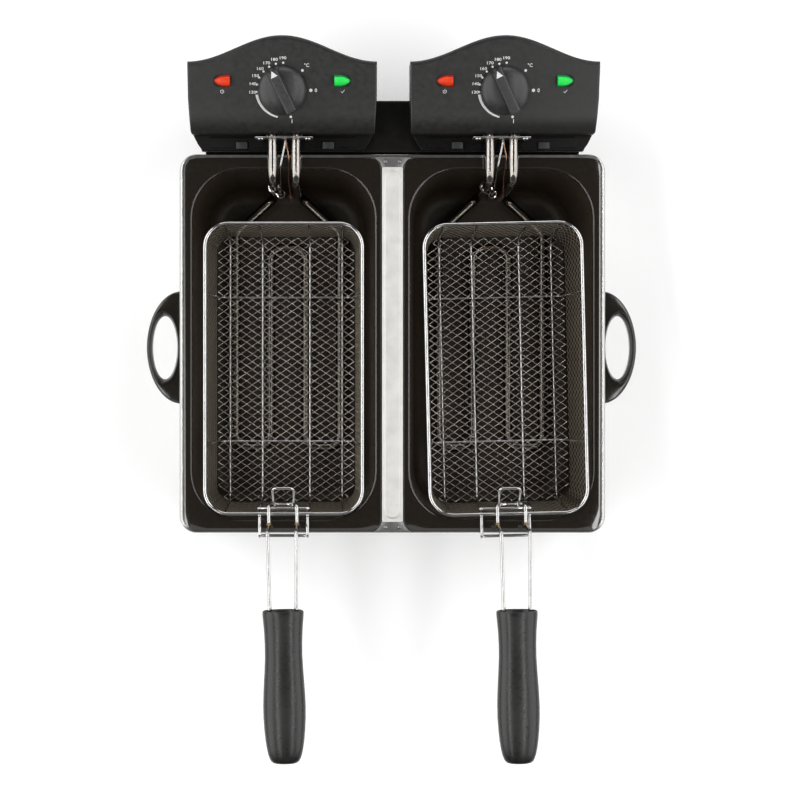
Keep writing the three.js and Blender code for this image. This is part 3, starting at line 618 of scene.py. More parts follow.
def side_handle(side):
    """An oval grab handle: a beaded crest runs round its finger hole, whose wall slopes in."""
    box = Box("side_handle_right")
    reach, half_length = box.width, box.length / 2 + 1.2
    centre, bead_radius = Vector((15.8, 0)), 0.5
    hole, crest = (11.4, 29.0), (13.7, 33.0)
    half, middle = box.height / 2, box.middle.z
    flat = [Vector((0, half_length - 2 * half_length * k / 40)) for k in range(41)]
    sweep = [-math.pi / 2 + math.pi * k / 64 for k in range(1, 64)]
    curve = [Vector((reach * math.cos(a), half_length * math.sin(a))) for a in sweep]
    rings = []
    for point in flat + curve:
        away = point - centre
        angle = math.atan2(away.y / hole[1], away.x / hole[0])
        turned = Vector((math.cos(angle), math.sin(angle)))
        inside = centre + Vector((hole[0] * turned.x, hole[1] * turned.y))
        ridge = centre + Vector((crest[0] * turned.x, crest[1] * turned.y))
        span = (point - inside).length
        out = (point - inside) / span
        lip = min((ridge - inside).length, span * 0.42)
        groove = min(1.2, (span - lip) * 0.2)
        edge = min(2.4, (span - lip - groove) * 0.8)
        low = half - 1.4
        section = [(0, 0), (0.15, half * 0.45), (lip * 0.55, half - 2.6), (lip - 0.45, half - 0.5)]
        section += [(lip, half - 0.05), (lip + 0.45, half - 0.4), (lip + groove, low)]
        section += [(span - edge + edge * math.sin(a), low - edge * (1 - math.cos(a)) * 1.3)
                    for a in (0, 0.35, 0.7, 1.05, 1.4, math.pi / 2)]
        section += [(d, -h) for d, h in reversed(section) if h > 0]
        rings.append([Vector((*(inside + out * d), middle + h)) for d, h in section])
    bead = oval(crest[0] - 0.2, crest[1] - 0.2, middle + half - 0.35, centre.x, steps=72)
    made = loft(rings, looped=True) + tube(bead, bead_radius, 8, closed=True)
    made = made.moved(shift(box.x0, box.middle.y))
    return made if side > 0 else flipped(made)


def add_housing(node, shape, materials, crease=35):
    add_piece(f"{node}_look", shape, materials, "housing", [node], crease)


add_housing("housing_shell", housing_shell(), STEEL, 30)
add_housing("base_plate", base_plate(), DARK_STEEL)
add_housing("pan_divider", pan_divider(), DARK_STEEL)
add_housing("bridge_plate", bridge_plate(), BRIGHT_STEEL, 60)
for number in range(1, 5):
    node = f"divider_rivet_{number}"
    add_housing(node, rivet(node), DARK_STEEL)
add_housing("rear_housing", rear_housing(), [REAR_PLASTIC_SHADED, DARK_STEEL])
for name, side in (("left", -1), ("right", 1)):
    add_housing(f"side_handle_{name}", side_handle(side), HANDLE_PLASTIC, 50)
for end in ("front", "rear"):
    for name in ("left", "right"):
        node = f"foot_{end}_{name}"
        add_housing(node, foot(node), RUBBER)


# ---- Pans --------------------------------------------------------------------------------------
def pan(outward):
    """A deep-drawn pan: rolled flange, rounded lip, drafted walls and a rounded floor."""
    steps = 10
    width, length, corner = OPENING["width"], OPENING["length"], OPENING["corner"]
    lip, sweep, draft, wider = 2.6, 14, 6.5, 1.3
    wall_end, floor_inset = PAN.z0 + SHEET + sweep, draft + sweep

    def opening(z, inset):
        return rounded_ring(width, length, corner, z, inset, steps)

    def edge(z, inset):
        outline = rounded_ring(PAN.width + wider, PAN.length, PAN_CORNER, z, inset, steps)
        return [p + Vector((wider / 2 * outward, 0, 0)) for p in outline]

    half = SHEET / 2
    roll = [(RIM_Z - half + half * math.sin(a), half - half * math.cos(a))
            for a in (-1.57, -1.05, -0.52, 0, 0.52, 1.05, 1.57)]
    inside = [(RIM_Z - lip * (1 - math.cos(a)), -lip + lip * math.sin(a))
              for a in (0, 0.26, 0.52, 0.78, 1.05, 1.31, 1.57)]
    inside.append((wall_end, draft))
    inside += [(wall_end - sweep * math.sin(a), floor_inset - sweep * math.cos(a))
               for a in (0.2, 0.4, 0.6, 0.8, 1.0, 1.2, 1.4, 1.57)]
    outside = [(z - SHEET, inset - 0.1) if inset > 12 else (z, inset - SHEET)
               for z, inset in inside[7:]]
    under = [(RIM_Z - SHEET, -SHEET - 1.6), (RIM_Z - lip + 0.4, -SHEET - 0.3),
             (RIM_Z - lip - 2, -SHEET)]
    rings = [opening(*level) for level in reversed(inside)]
    rings += [edge(*level) for level in reversed(roll)]
    rings += [opening(*level) for level in under + outside]
    # Faces below the lip take the second, lighter and matt enamel: painted light inside the pan.
    return repainted(loft(rings), lambda points: max(p.z for p in points) < RIM_Z - lip + 0.1)


# ---- Control heads -----------------------------------------------------------------------------
HEAD = {"half": 83.5, "front_half": 82, "front": 187, "corner_y": 248.5, "arch": 22, "tilt": 15}
COVER_BOX = Box("control_cover_right")
SPLIT_Z = COVER_BOX.z0
PANEL_LOW = {"y": 197, "z": SPLIT_Z - GAP + 17}
SLOPE = math.tan(math.radians(HEAD["tilt"]))
KNOB_Y = 223.5


def panel_z(y):
    return PANEL_LOW["z"] + (y - PANEL_LOW["y"]) * SLOPE


ON_PANEL = shift(0, KNOB_Y, panel_z(KNOB_Y)) @ turn(HEAD["tilt"], "X")


def front_bend(y):
    """Height of the cover's top over y: the panel, rolled down over the front edge."""
    bend, drop = 21, 8.5
    back = HEAD["front"] + bend
    along = clamped((back - y) / bend)
    return panel_z(y) - drop * (1 - math.sqrt(1 - along ** 2))


ELEMENT_SHIFT = 1.2
TUBE_X, TUBE_R, TUBE_Y = 10.5, 4.3, 145
TUBE_Z = SPLIT_Z - GAP + 7.3
BRACKET = {"y": Box("element_bracket_right").y0 - 1.1, "thick": 0.9, "screw_x": 21}


def control_cover(inward):
    """The cover as a grid: its front rolls down, its sides are crisp, its back edge is a wave."""
    front, corner_y, arch = HEAD["front"], HEAD["corner_y"], HEAD["arch"]
    side_round, back_round = 1.3, 3.6
    near = [0, 0.06, 0.25, 0.55, 0.9, 1.3, 2.2, 4]
    half, inner_columns, inner_rows, mouth = HEAD["half"], 24, 6, 2.6
    middle = half - near[-1]
    columns = [half - d for d in near]
    columns += [middle * (1 - k / inner_columns) for k in range(1, inner_columns + 1)]
    columns = [-x for x in columns[:-1]] + columns[::-1]
    ahead = [0, 0.12, 0.5, 1.1, 2, 3.2, 4.6, 6.2, 8, 10, 12.5, 15, 18, 21, 22]
    step, step_at, lowest = 0.8, 3.9, 4
    behind = [0, 0.07, 0.27, 0.6, 1.05, 1.6, 2.3, 3, 3.6, 3.9, 4.2, 4.6, 7]
    grid = []
    for x in columns:
        share = x / half
        back = corner_y + arch / 2 * (1 + math.cos(math.pi * share))
        clip = max(0.0, abs(x) - half + mouth)
        start = front + mouth - math.sqrt(max(0.0, mouth ** 2 - clip ** 2))
        rows = [start + d for d in ahead]
        last = back - behind[-1]
        rows += [rows[-1] + (last - rows[-1]) * k / inner_rows for k in range(1, inner_rows)]
        rows += [back - d for d in reversed(behind)]
        column = []
        for y in rows:
            width = min(half, HEAD["front_half"] + (y - front) * 0.05)
            fall = quarter_drop((half - abs(x)) * width / half, side_round)
            drop = quarter_drop(back - y, back_round)
            top = max(front_bend(y), SPLIT_Z + lowest)
            top -= step if back - y < step_at else 0
            column.append(Vector((share * width, y, top - max(fall, drop))))
        grid.append(column)
    top = loft(grid, around=False, capped=False)
    last = len(grid[0]) - 1
    rim = [column[0] for column in grid] + grid[-1][1:]
    rim += [column[last] for column in reversed(grid[:-1])] + list(reversed(grid[0][1:last]))
    chamfer, boss_half = 0.4, 16.5
    low = [at_height(rim, SPLIT_Z + chamfer), at_height(drawn_in(rim, chamfer), SPLIT_Z)]
    boss = block(-boss_half, boss_half, BRACKET["y"] + BRACKET["thick"], front + 5, SPLIT_Z,
                 TUBE_Z - 2, 1)
    shell = loft([rim] + low, capped=False) + flat_face([low[-1]])
    return top + shell + boss.moved(shift(ELEMENT_SHIFT * inward))


def control_base(inward):
    """The head's base: a plate under the cover with two lugs, and a legged box behind the pan."""
    box = Box("control_base_right")
    low, top = Box("rear_housing").z1 + GAP, SPLIT_Z - GAP
    front = box.y0 + 0.6
    half = [(72, front), (73, front + 0.5), (73.5, front + 2.2), (76.6, 179.5), (80.4, 187)]
    half += [(81.6, 196), (82.5, HEAD["corner_y"] - 6), (80.5, HEAD["corner_y"] - 3.6)]
    parts = [slab(mirrored(half), soft_levels(low, top, 1.1))]
    parts.append(block(-66, 66, front + 2.6, HEAD["front"] - 1, top - 1, top + 0.5, 0.4, 2))
    leg_front, rail, leg_half = box.y1 - 31.3, 42, 58
    groove, rail_back = 3.8, box.y1 - 27.5
    leg = [(-leg_half, box.y1), (-leg_half, leg_front)]
    leg += [(-rail - groove, leg_front), (-rail - groove, rail_back)]
    leg += [(-rail + groove, rail_back), (-rail + groove, leg_front)]
    corners = bent([(x, y, 0) for x, y in mirrored(leg)], 2.4, 4, closed=True)
    parts.append(slab(corners, soft_levels(box.z0, low + 0.5, 1.0)))
    for side in (-1, 1):
        x = side * 38.7 + 1.75 * inward
        parts.append(block(x - 5.6, x + 5.6, front, front + 8.4, top - 1, top + 0.9, 0.3, 1))
        lug = block(x - 5, x + 5, front + 1.4, front + 7.8, top, top + 4, 0.6, 1)
        # The lug's top faces take the lighter plastic: painted light.
        parts.append(repainted(lug, lambda points: min(p.z for p in points) > top + 3.3))
    for x in (-50, 50):
        for z in (box.z0 + 9, low - 12):
            screw = case_screw(3.4).moved(shift(x, box.y1 - 0.2, z) @ turn(-90, "X"))
            parts.append(screw.painted(2))
    return join(parts)


def upright(outline, y, thickness, edge=0.3, holes=()):
    """A plate drawn in (x, z), standing with its front face at y."""
    levels = [(0, edge), (edge, 0), (thickness - edge, 0), (thickness, edge)]
    stand = Matrix(((1, 0, 0, 0), (0, 0, 1, y), (0, 1, 0, 0), (0, 0, 0, 1)))
    return slab([Vector((x, z, 0)) for x, z in outline], levels, holes).moved(stand)


def element_bracket():
    box = Box("element_bracket_right")
    corners = [(26, box.z0), (26, box.z1), (-26, box.z1), (-26, box.z0)]
    outline = bent([Vector((x, z, 0)) for x, z in corners], 2.2, 4, closed=True)
    bore = TUBE_R + 0.5
    holes = [oval(bore, bore, 0, x, TUBE_Z, 24) for x in (-TUBE_X, TUBE_X)]
    holes.append(oval(2.7, 2.7, 0, 0, TUBE_Z, 20))
    return upright([(p.x, p.y) for p in outline], BRACKET["y"], BRACKET["thick"], 0.25, holes)


def cross_screw(radius=3.2, dome=1.9):
    """A pan-head screw, its head rising along z; its cross recess is a dark bar of painted shade.
    """
    side, arm, arm_half = 0.5, 2, 0.36
    arc = [(radius * math.cos(a), side + (dome - side) * math.sin(a))
           for a in (0, 0.3, 0.6, 0.9, 1.2)]
    head = lathe([(0, -1), (1.2, -1), (1.2, 0), (radius, 0)] + arc + [(0, dome)], 28)
    bar = block(-arm, arm, -arm_half, arm_half, dome - 0.7, dome + 0.04, 0.05)
    return head + join([bar, bar.moved(turn(90))]).painted(1)


def heating_element():
    """One tube: out of the head, down the pan's back wall, and in a double U over its floor."""
    low = Box("heating_element_right").z0 + TUBE_R + 0.1
    inner, outer, reach, darker_below_z = 17, 50, -96, 75
    start = BRACKET["y"] + BRACKET["thick"]
    half = [(TUBE_X, start, TUBE_Z), (TUBE_X, TUBE_Y, TUBE_Z), (TUBE_X, TUBE_Y, low)]
    half += [(outer, TUBE_Y - 36, low), (outer, reach, low), (inner, reach, low)]
    half += [(inner, TUBE_Y - 50, low)]
    made = tube(bent(mirrored(half), 12, 10), TUBE_R, 24)
    # Faces below this height take the darker steel: the tube is darker towards the pan's floor.
    return repainted(made, lambda points: min(p.z for p in points) < darker_below_z)


BULBS = {"thermostat": (-4.5, 138.6, 2.7), "cutout": (4.6, 137, 2.2)}


def sensor_clip():
    """A strap bent round the left tube and the thermostat's bulb, pinched between them."""
    box = Box("sensor_clip_right")
    strap, half, middle, steps = 0.9, box.height / 2, box.middle.z, 20
    tube_at, bulb = Vector((-TUBE_X, TUBE_Y)), Vector(BULBS["thermostat"][:2])
    r_tube, r_bulb = TUBE_R + 0.75, BULBS["thermostat"][2] + 0.75
    axis = (bulb - tube_at).angle_signed(Vector((1, 0)))
    line = []
    for centre, r, first, last in ((tube_at, r_tube, 50, 310), (bulb, r_bulb, -130, 130)):
        for k in range(steps + 1):
            a = axis + math.radians(first + (last - first) * k / steps)
            line.append(centre + Vector((math.cos(a), math.sin(a))) * r)
    section = [(-strap / 2, -half), (strap / 2, -half + 0.2)]
    section += [(strap / 2, half - 0.2), (-strap / 2, half)]
    rings = []
    count = len(line)
    for i, p in enumerate(line):
        along = (line[(i + 1) % count] - line[i - 1]).normalized()
        out = Vector((along.y, -along.x))
        rings.append([Vector((*(p + out * d), middle + h)) for d, h in section])
    ear_at = (tube_at + bulb) / 2
    bolt = lathe([(0, -4), (1.3, -4), (1.3, 4), (2.4, 4), (2.4, 5.6), (0, 5.8)], 6)
    ear = bolt.moved(shift(ear_at.x + 1, ear_at.y + 1.6, middle) @ turn(90, "X"))
    return loft(rings, looped=True) + ear


def capillary(bulb, route, diameter):
    """A bulb with a necked top on its thin tube, which bows back into the head."""
    x, y, radius = BULBS[bulb]
    low, high = 84, 122
    profile = [(0, low), (radius * 0.7, low + 0.3), (radius, low + 1.6), (radius, high - 4)]
    profile += [(radius * 0.75, high - 1.5), (diameter * 0.6, high), (0, high)]
    line = bent([(x, y, high - 1), (x, y, high + 7)] + route, 9, 6)
    return lathe(profile, 20).moved(shift(x, y)) + tube(line, diameter / 2, 10)


LENS_X, LENS_RISE = 53, 8.3  # each lens from the middle of the knob, along and up the panel


def lens(side):
    """A bullet-shaped pilot lens that lies in the panel, with a painted highlight along its top:
    brighter faces that glow more strongly.
    """
    length, radius = 14.5, 5.2
    straight = length * 0.34
    profile = [(0, 0), (radius * 0.96, 0), (radius, 0.5), (radius, straight)]
    for a in (0.15, 0.3, 0.45, 0.6, 0.75, 0.88, 0.96):
        profile.append((radius * (1 - a ** 2) ** 0.8, straight + (length - straight) * a))

    def in_core(points):
        middle = sum(points, Vector()) / len(points)
        return abs(middle.y) < -0.8 * middle.x and 2.4 < middle.z < length * 0.9

    made = repainted(lathe(profile + [(0, length)], 24), in_core)
    made = made.moved(shift(LENS_X - length / 2, LENS_RISE) @ turn(90, "Y"))
    return (made if side > 0 else flipped(made)).moved(ON_PANEL)


def lens_seats():
    """Painted shade in the panel's rebates round the two lenses: a thin dark sheet at each."""
    seat = slab(rounded_ring(15.6, 11, 4.6, steps=5), [(-0.4, 0), (0.05, 0)])
    return join([seat.moved(shift(x, LENS_RISE)) for x in (-LENS_X, LENS_X)]).moved(ON_PANEL)


KNOB_ANGLE = 26  # degrees from straight up to the pointer


def knob():
    """A round dome with a straight finger bar across it and a pale pointer on the bar."""
    radius, height, lift, rise, edge = 21.5, 17, 0.6, 7.8, 2.2
    profile = [(0, lift), (radius - 0.6, lift), (radius, lift + 0.6), (radius, lift + edge)]
    profile += [(radius * math.cos(a) ** 0.9, lift + edge + rise * math.sin(a))
                for a in quarter(12)[1:-1]]
    dome = lathe(profile + [(0, lift + edge + rise)], 64)
    levels = [(lift + 1.5, 6.4), (height - 3.2, 5.0), (height - 1.2, 4.7), (height - 0.5, 4.4),
              (height - 0.15, 4.0), (height, 3.4)]
    steps = 8
    rings = []
    for z, half in levels:
        reach = radius - 0.25 - max(0.0, (z - lift - 3) * 0.13)
        across = [half * (2 * k / steps - 1) for k in range(steps + 1)]
        end = [Vector((-x, math.sqrt(reach ** 2 - x * x), z)) for x in across]
        rings.append(end + [Vector((-p.x, -p.y, z)) for p in end])
    pointer = slab([(-3.1, 14.2), (3.1, 14.2), (0, 20)], [(height - 0.4, 0), (height + 0.06, 0)])
    pin = lathe([(0, -6.5), (4.5, -6.5), (4.5, lift + 1), (0, lift + 1)], 24)
    bar = loft(rings) + pointer.painted(1)
    return dome + bar.moved(turn(KNOB_ANGLE)) + pin


TEXT = {"extrude": 0.02, "steps": 3, "bolder": 0.012, "thicker": 3}
FILM = 0.04  # half the thickness of the printed film


def text_shape(text, cap_height, width=None):
    """Flat letters of one height, centred on the origin."""
    curve = bpy.data.curves.new("text", "FONT")
    curve.body = text
    curve.extrude = TEXT["extrude"]
    curve.resolution_u = TEXT["steps"]
    curve.offset = TEXT["bolder"]
    source = linked("text", curve)
    bpy.context.view_layer.update()
    made = source.evaluated_get(bpy.context.evaluated_depsgraph_get()).to_mesh()
    points = [v.co.copy() for v in made.vertices]
    faces = [tuple(f.vertices) for f in made.polygons]
    bpy.data.objects.remove(source)
    low = Vector(map(min, zip(*points)))
    high = Vector(map(max, zip(*points)))
    middle, size = (low + high) / 2, high - low
    tall = cap_height / size.y
    wide = width / size.x if width else tall
    scale = Matrix.Diagonal((wide, tall, TEXT["thicker"], 1))
    return Shape(points, faces).moved(scale @ shift(-middle.x, -middle.y))


def ring_band(radius, start, end, width_start, width_end, steps=40):
    """A thin curved band between two angles, in degrees, with a width at each end."""
    rows = []
    for k in range(steps + 1):
        share = k / steps
        a = math.radians(start + (end - start) * share)
        half = (width_start + (width_end - width_start) * share) / 2
        section = ((-half, -FILM), (half, -FILM), (half, FILM), (-half, FILM))
        rows.append([((radius + d) * math.cos(a), (radius + d) * math.sin(a), z)
                     for d, z in section])
    return loft(rows)


def stroke(low, high):
    """A short upright line of print."""
    return block(-0.22, 0.22, low, high, -FILM, FILM, FILM / 2)


def dot(radius):
    return lathe([(0, -FILM), (radius, -FILM), (radius, FILM), (0, FILM)], 20)


def dial_print():
    """The scale printed round the knob, in a thin raised film."""
    centre, ring, numbers = 1.2, 24.0, 28.2

    def placed(shape, degrees, reach):
        a = math.radians(degrees)
        return shape.moved(shift(reach * math.cos(a), reach * math.sin(a)))

    parts = [ring_band(ring, 189, 257, 2.4, 1.4)]
    for k, value in enumerate(range(190, 120, -10)):
        degrees = 90.5 + 15.5 * k
        parts.append(placed(dot(0.95), degrees, ring))
        parts.append(placed(text_shape(str(value), 2.6, 5.8), degrees, numbers - 0.9 * k / 6))
    for degrees, radius in ((46, 1.15), (0, 1.45), (-75, 1.15)):
        parts.append(placed(dot(radius), degrees, ring))
    for text, degrees, reach in (("°C", 47, 30), ("0", 0, 28.5), ("I", -75, 27.8)):
        parts.append(placed(text_shape(text, 3.2), degrees, reach))
    power = ring_band(1.5, 125, 415, 0.4, 0.4) + stroke(-0.2, 1.9)
    tick = stroke(0, 1.5).moved(turn(45)) + stroke(0, 3.2).moved(turn(-38))
    parts += [power.moved(shift(-LENS_X - centre, -1)), tick.moved(shift(LENS_X - centre, -2.2))]
    film = join(parts).moved(ON_PANEL @ shift(centre, 0, 0.06))
    for p in film.points:
        p.z += front_bend(p.y) - panel_z(p.y)
    return film


def cord_gland():
    """A strain relief with four ribs, hollow where the cord would pass."""
    box = Box("cord_gland_right")
    profile = [(3, -5), (4, -5), (4, 0.2), (6.8, 0.2), (7, 0.6), (7, 2.4), (6.4, 3)]
    for k in range(4):
        z = 3.6 + 2.0 * k
        profile += [(6.0 - 0.25 * k, z), (6.0 - 0.25 * k, z + 1.0), (4.9 - 0.2 * k, z + 1.3),
                    (4.9 - 0.2 * k, z + 1.7)]
    profile += [(5, 11.6), (4.6, 12), (3.2, 12), (3, 11.6)]
    return lathe(profile, 28).moved(shift(0, box.y1 - 12, box.middle.z) @ turn(-90, "X"))


# ---- Baskets and handles -----------------------------------------------------------------------
BASKET = {"width": 145.2, "length": 264.8, "y": -21.6, "radius": 23, "wire": 3.6, "depth": 80}
BASKET_Z = RIM_Z + GAP + 1.5
WEAVE = {"x": 10.7, "y": 7.3, "along_rim": 6, "levels": 11, "wire": 0.85, "wall_wire": 0.52,
         "lift": 0.42, "top_inset": 0.7, "taper": 5.5, "sweep": 3.5}
HALF_RIM = BASKET["wire"] / 2
RIM = {"half_x": BASKET["width"] / 2 - HALF_RIM, "half_y": BASKET["length"] / 2 - HALF_RIM,
       "corner": BASKET["radius"] - HALF_RIM}


def rim_path(z):
    """The middle line of the rim wire."""
    return rounded_ring(2 * RIM["half_x"], 2 * RIM["half_y"], RIM["corner"], z, steps=12)


class Wall:
    """The basket's wall: points by their distance along the rim, inset and height."""

    def __init__(self):
        self.line = rim_path(0)
        self.lengths = [0.0]
        for i, p in enumerate(self.line):
            self.lengths.append(self.lengths[-1] + (self.line[(i + 1) % len(self.line)] - p).length)
        self.around = self.lengths[-1]

    def at(self, along, inset, z):
        along %= self.around
        i = max(k for k, s in enumerate(self.lengths[:-1]) if s <= along)
        a, b = self.line[i], self.line[(i + 1) % len(self.line)]
        span = self.lengths[i + 1] - self.lengths[i]
        p = a.lerp(b, (along - self.lengths[i]) / span)
        half_x, half_y = RIM["half_x"] - RIM["corner"], RIM["half_y"] - RIM["corner"]
        centre = Vector((max(-half_x, min(half_x, p.x)), max(-half_y, min(half_y, p.y)), 0))
        out = (p - centre).normalized()
        return p - out * inset + Vector((0, 0, z)), out


def basket_weave():
    """Two families of crossing wires on the walls, and two on the floor and its rounded edge."""
    wall = Wall()
    lift, sweep, taper = WEAVE["lift"], WEAVE["sweep"], WEAVE["taper"]
    top, low = BASKET_Z - 0.9, BASKET_Z - BASKET["depth"] + 0.6
    count = round(wall.around / WEAVE["along_rim"])
    step = wall.around / count
    wires = []

    def add_wire(line, wire, paint):
        wires.append(tube(line, WEAVE[wire] / 2, 5, domed=False).painted(paint))

    for sign in (1, -1):
        for i in range(count):
            line = []
            for m in range(WEAVE["levels"] + 1):
                share = m / WEAVE["levels"]
                inset = WEAVE["top_inset"] + (taper - WEAVE["top_inset"]) * share
                z = top + (low + sweep - top) * share
                p, out = wall.at((i + sign * m / 2) * step, inset, z)
                line.append(p + out * lift * sign * (-1) ** m)
            # Wall wires take material 0, the lighter copy of the wire: painted light.
            add_wire(line, "wall_wire", 0)
    half_x, half_y, corner = (RIM[key] - taper for key in ("half_x", "half_y", "corner"))

    def depth_inside(x, y):
        """How far a point lies inside the weave's lower outline."""
        dx, dy = abs(x) - (half_x - corner), abs(y) - (half_y - corner)
        if dx > 0 and dy > 0:
            return corner - math.hypot(dx, dy)
        return corner - max(dx, dy)

    def floor_z(x, y):
        inside = depth_inside(x, y)
        if inside >= sweep:
            return low
        return low + sweep - math.sqrt(max(0.0, sweep ** 2 - (sweep - inside) ** 2))

    dx, dy = WEAVE["x"], WEAVE["y"]
    reach = int(half_x / dx + half_y / dy) + 2
    for sign in (1, -1):
        for i in range(-reach, reach + 1):
            runs, line = [], []
            for k in range(-4 * reach, 4 * reach + 1):
                # the other family's wires are crossed at whole steps of k
                x = (i + k) * dx / 2
                y = sign * (i - k) * dy / 2
                if depth_inside(x, y) > 0.3:
                    wave = lift * sign * (-1) ** k
                    line.append(Vector((x, y, floor_z(x, y) + wave)))
                elif line:
                    runs.append(line)
                    line = []
            runs += [line] if line else []
            for run in runs:
                if len(run) > 1:
                    add_wire(run, "wire", 1)
    return join(wires)


def basket_frame():
    """The rim, and the cradle of four long and two cross wires under the weave."""
    low, foot, top = BASKET_Z - BASKET["depth"] - GAP - 1.2, 7.5, BASKET_Z - 0.4
    corner = RIM["corner"]
    cradle = []
    for x in (-53, -22.4, 22.4, 53):
        past = max(0.0, abs(x) - RIM["half_x"] + corner)
        end = RIM["half_y"] - corner + math.sqrt(corner ** 2 - past ** 2)
        cradle.append([(x, -end, top), (x, -end + foot, low), (x, end - foot, low), (x, end, top)])
    for y in (-68, 68):
        half = [(-RIM["half_x"], y, top), (-RIM["half_x"] + foot, y, low - 1.5)]
        cradle.append(mirrored(half))
    wires = [tube(bent(line, 9, 8), 1.2, 12) for line in cradle]
    return join([tube(rim_path(BASKET_Z), HALF_RIM, 20, closed=True)] + wires)


def basket_hook(hook_x):
    """The bent wire that hangs over the pan's rim, with a cross bar and weld beads."""
    start = BASKET["y"] - RIM["half_y"] - 1.5
    reach, half, drop, height = -172.9, 21.5, 12, BASKET_Z + 0.2
    bar_y = start + 6.5
    corners = [(-half, start, BASKET_Z), (-half, reach, BASKET_Z), (-half, reach, BASKET_Z - drop)]
    parts = [tube(bent(mirrored(corners), 3, 6), 1.5, 14),
             tube(mirrored([(-half - 1, bar_y, height)]), 1.3, 12)]
    bead = lathe([(0, -1.9), (1.4, -1.3), (2, 0), (1.4, 1.3), (0, 1.9)], 12)
    parts += [bead.moved(shift(x, y, height)) for x in (-half, half) for y in (bar_y, start + 0.2)]
    return join(parts).moved(shift(hook_x))


HINGE_Y = -144
PIVOT_Z = BASKET_Z - 3.8


def handle_catch():
    """A bow and a foot of wire with the two rings that the handle turns in."""
    x, ring, bow_y, rise = 8.2, 3.3, -128.5, 14
    y, z = HINGE_Y, PIVOT_Z
    bow = mirrored([(-x - 0.8, y, z + ring), (-x - 1.4, bow_y, BASKET_Z + rise)])
    foot = mirrored([(-x, y, z - ring), (-x, y - 0.8, z - 9)])
    parts = [tube(bent(bow, 3.4, 6), 1.3, 12), tube(bent(foot, 2.4, 5), 1.2, 12)]
    loop = [(0, ring * math.cos(a), ring * math.sin(a)) for a in circle(20)]
    eye = tube(loop, 1.0, 10, closed=True)
    return join(parts + [eye.moved(shift(side, y, z)) for side in (-x, x)])


OVER_RIM_Z = BASKET_Z + 4.1
GRIP_Z = OVER_RIM_Z + 34
GRIP = {"back": -90.5, "front": -224, "half_mouth": 18, "half_thick": 11.5, "wall": 2.2}


def handle_wire():
    """One wire: its ends point outwards through the rings, and it steps up to the grip."""
    outer, narrow = 12.6, 11.6
    half = [(4.6, 0, PIVOT_Z), (outer, 0, PIVOT_Z), (outer, 0, OVER_RIM_Z)]
    half += [(outer, -18.5, OVER_RIM_Z), (outer, -21, GRIP_Z), (narrow, GRIP["back"], GRIP_Z)]
    half += [(narrow, GRIP["back"] - 34, GRIP_Z)]
    # The golden beads at the step are a painted reflection of a gold glint on the wire's bend.
    weld = lathe([(0, -2), (1.7, -1.5), (2.1, 0), (1.7, 1.5), (0, 2)], 14).painted(1)
    reflection_beads = [weld.moved(shift(x, -17.6, OVER_RIM_Z + 1)) for x in (-outer, outer)]
    return tube(bent(mirrored(half), 3.4, 6), 1.7, 16) + join(reflection_beads)


# (share of the length, half width, half height) down the grip
STATIONS = [(0, 17.8, 11.3), (0.012, 18.2, 11.5), (0.04, 18, 11.3), (0.09, 17.4, 10.9),
            (0.14, 16.9, 10.5), (0.22, 16.5, 10.1), (0.3, 16.5, 10.1), (0.38, 17, 10.4),
            (0.45, 17.6, 10.8), (0.54, 18.3, 11.2), (0.62, 18.7, 11.4), (0.7, 18.6, 11.2),
            (0.78, 18, 10.7), (0.85, 17.1, 10), (0.9, 16.1, 9.3), (0.94, 15, 8.6),
            (0.97, 13.6, 7.8), (0.985, 12.5, 7.2), (0.995, 11, 6.4), (1, 9, 5.4)]


def grip():
    """A moulded grip: flared hollow mouth, waist, palm swell and a blunt rounded end."""
    length, wall = GRIP["back"] - GRIP["front"], GRIP["wall"]
    power = 2.15  # of the section, between an ellipse and a rounded rectangle

    def ring(y, half, tall):
        points = []
        for a in circle(48):
            c, s = math.cos(a), math.sin(a)
            reach = (abs(c) ** power + abs(s) ** power) ** (-1 / power)
            points.append(Vector((half * reach * c, y, tall * reach * s)))
        return points

    mouth = [(9, wall), (0.9, wall), (0.25, wall - 0.5), (-0.3, wall / 2)]
    rings = [ring(GRIP["back"] - depth, GRIP["half_mouth"] - thin, GRIP["half_thick"] - thin)
             for depth, thin in mouth]
    rings += [ring(GRIP["back"] - share * length, half, tall) for share, half, tall in STATIONS]
    return loft(rings).moved(shift(0, 0, GRIP_Z))


# ---- The two bays ------------------------------------------------------------------------------
BRACKET_SHAPE = element_bracket()
ELEMENT_SHAPE, CLIP_SHAPE, KNOB_SHAPE = heating_element(), sensor_clip(), knob()
PRINT_SHAPE, GLAND_SHAPE, SCREW_SHAPE = dial_print(), cord_gland(), cross_screw()
WEAVE_SHAPE, FRAME_SHAPE, CATCH_SHAPE = basket_weave(), basket_frame(), handle_catch()
WIRE_SHAPE, GRIP_SHAPE = handle_wire(), grip()
IN_BRACKET = (BRACKET["y"] + 0.5, TUBE_Z)
THERMO_ROUTE = [(-3.6, 158, TUBE_Z), (0.8, 179, TUBE_Z + 1), (0.8, *IN_BRACKET)]
CUTOUT_ROUTE = [(3.2, 150, TUBE_Z - 16), (4.4, 166, TUBE_Z + 1), (2.4, 176, TUBE_Z),
                (1.6, *IN_BRACKET)]
# What differs from side to side: (shift, turn) of basket and handle, and the hook's shift.
BAYS = (
    {"side": "left", "inward": 1, "basket": (0.2, 0), "hook": 0, "handle": (-0.7, 0.9)},
    {"side": "right", "inward": -1, "basket": (3.6, 1.35), "hook": -3.5, "handle": (1.8, -0.45)},
)

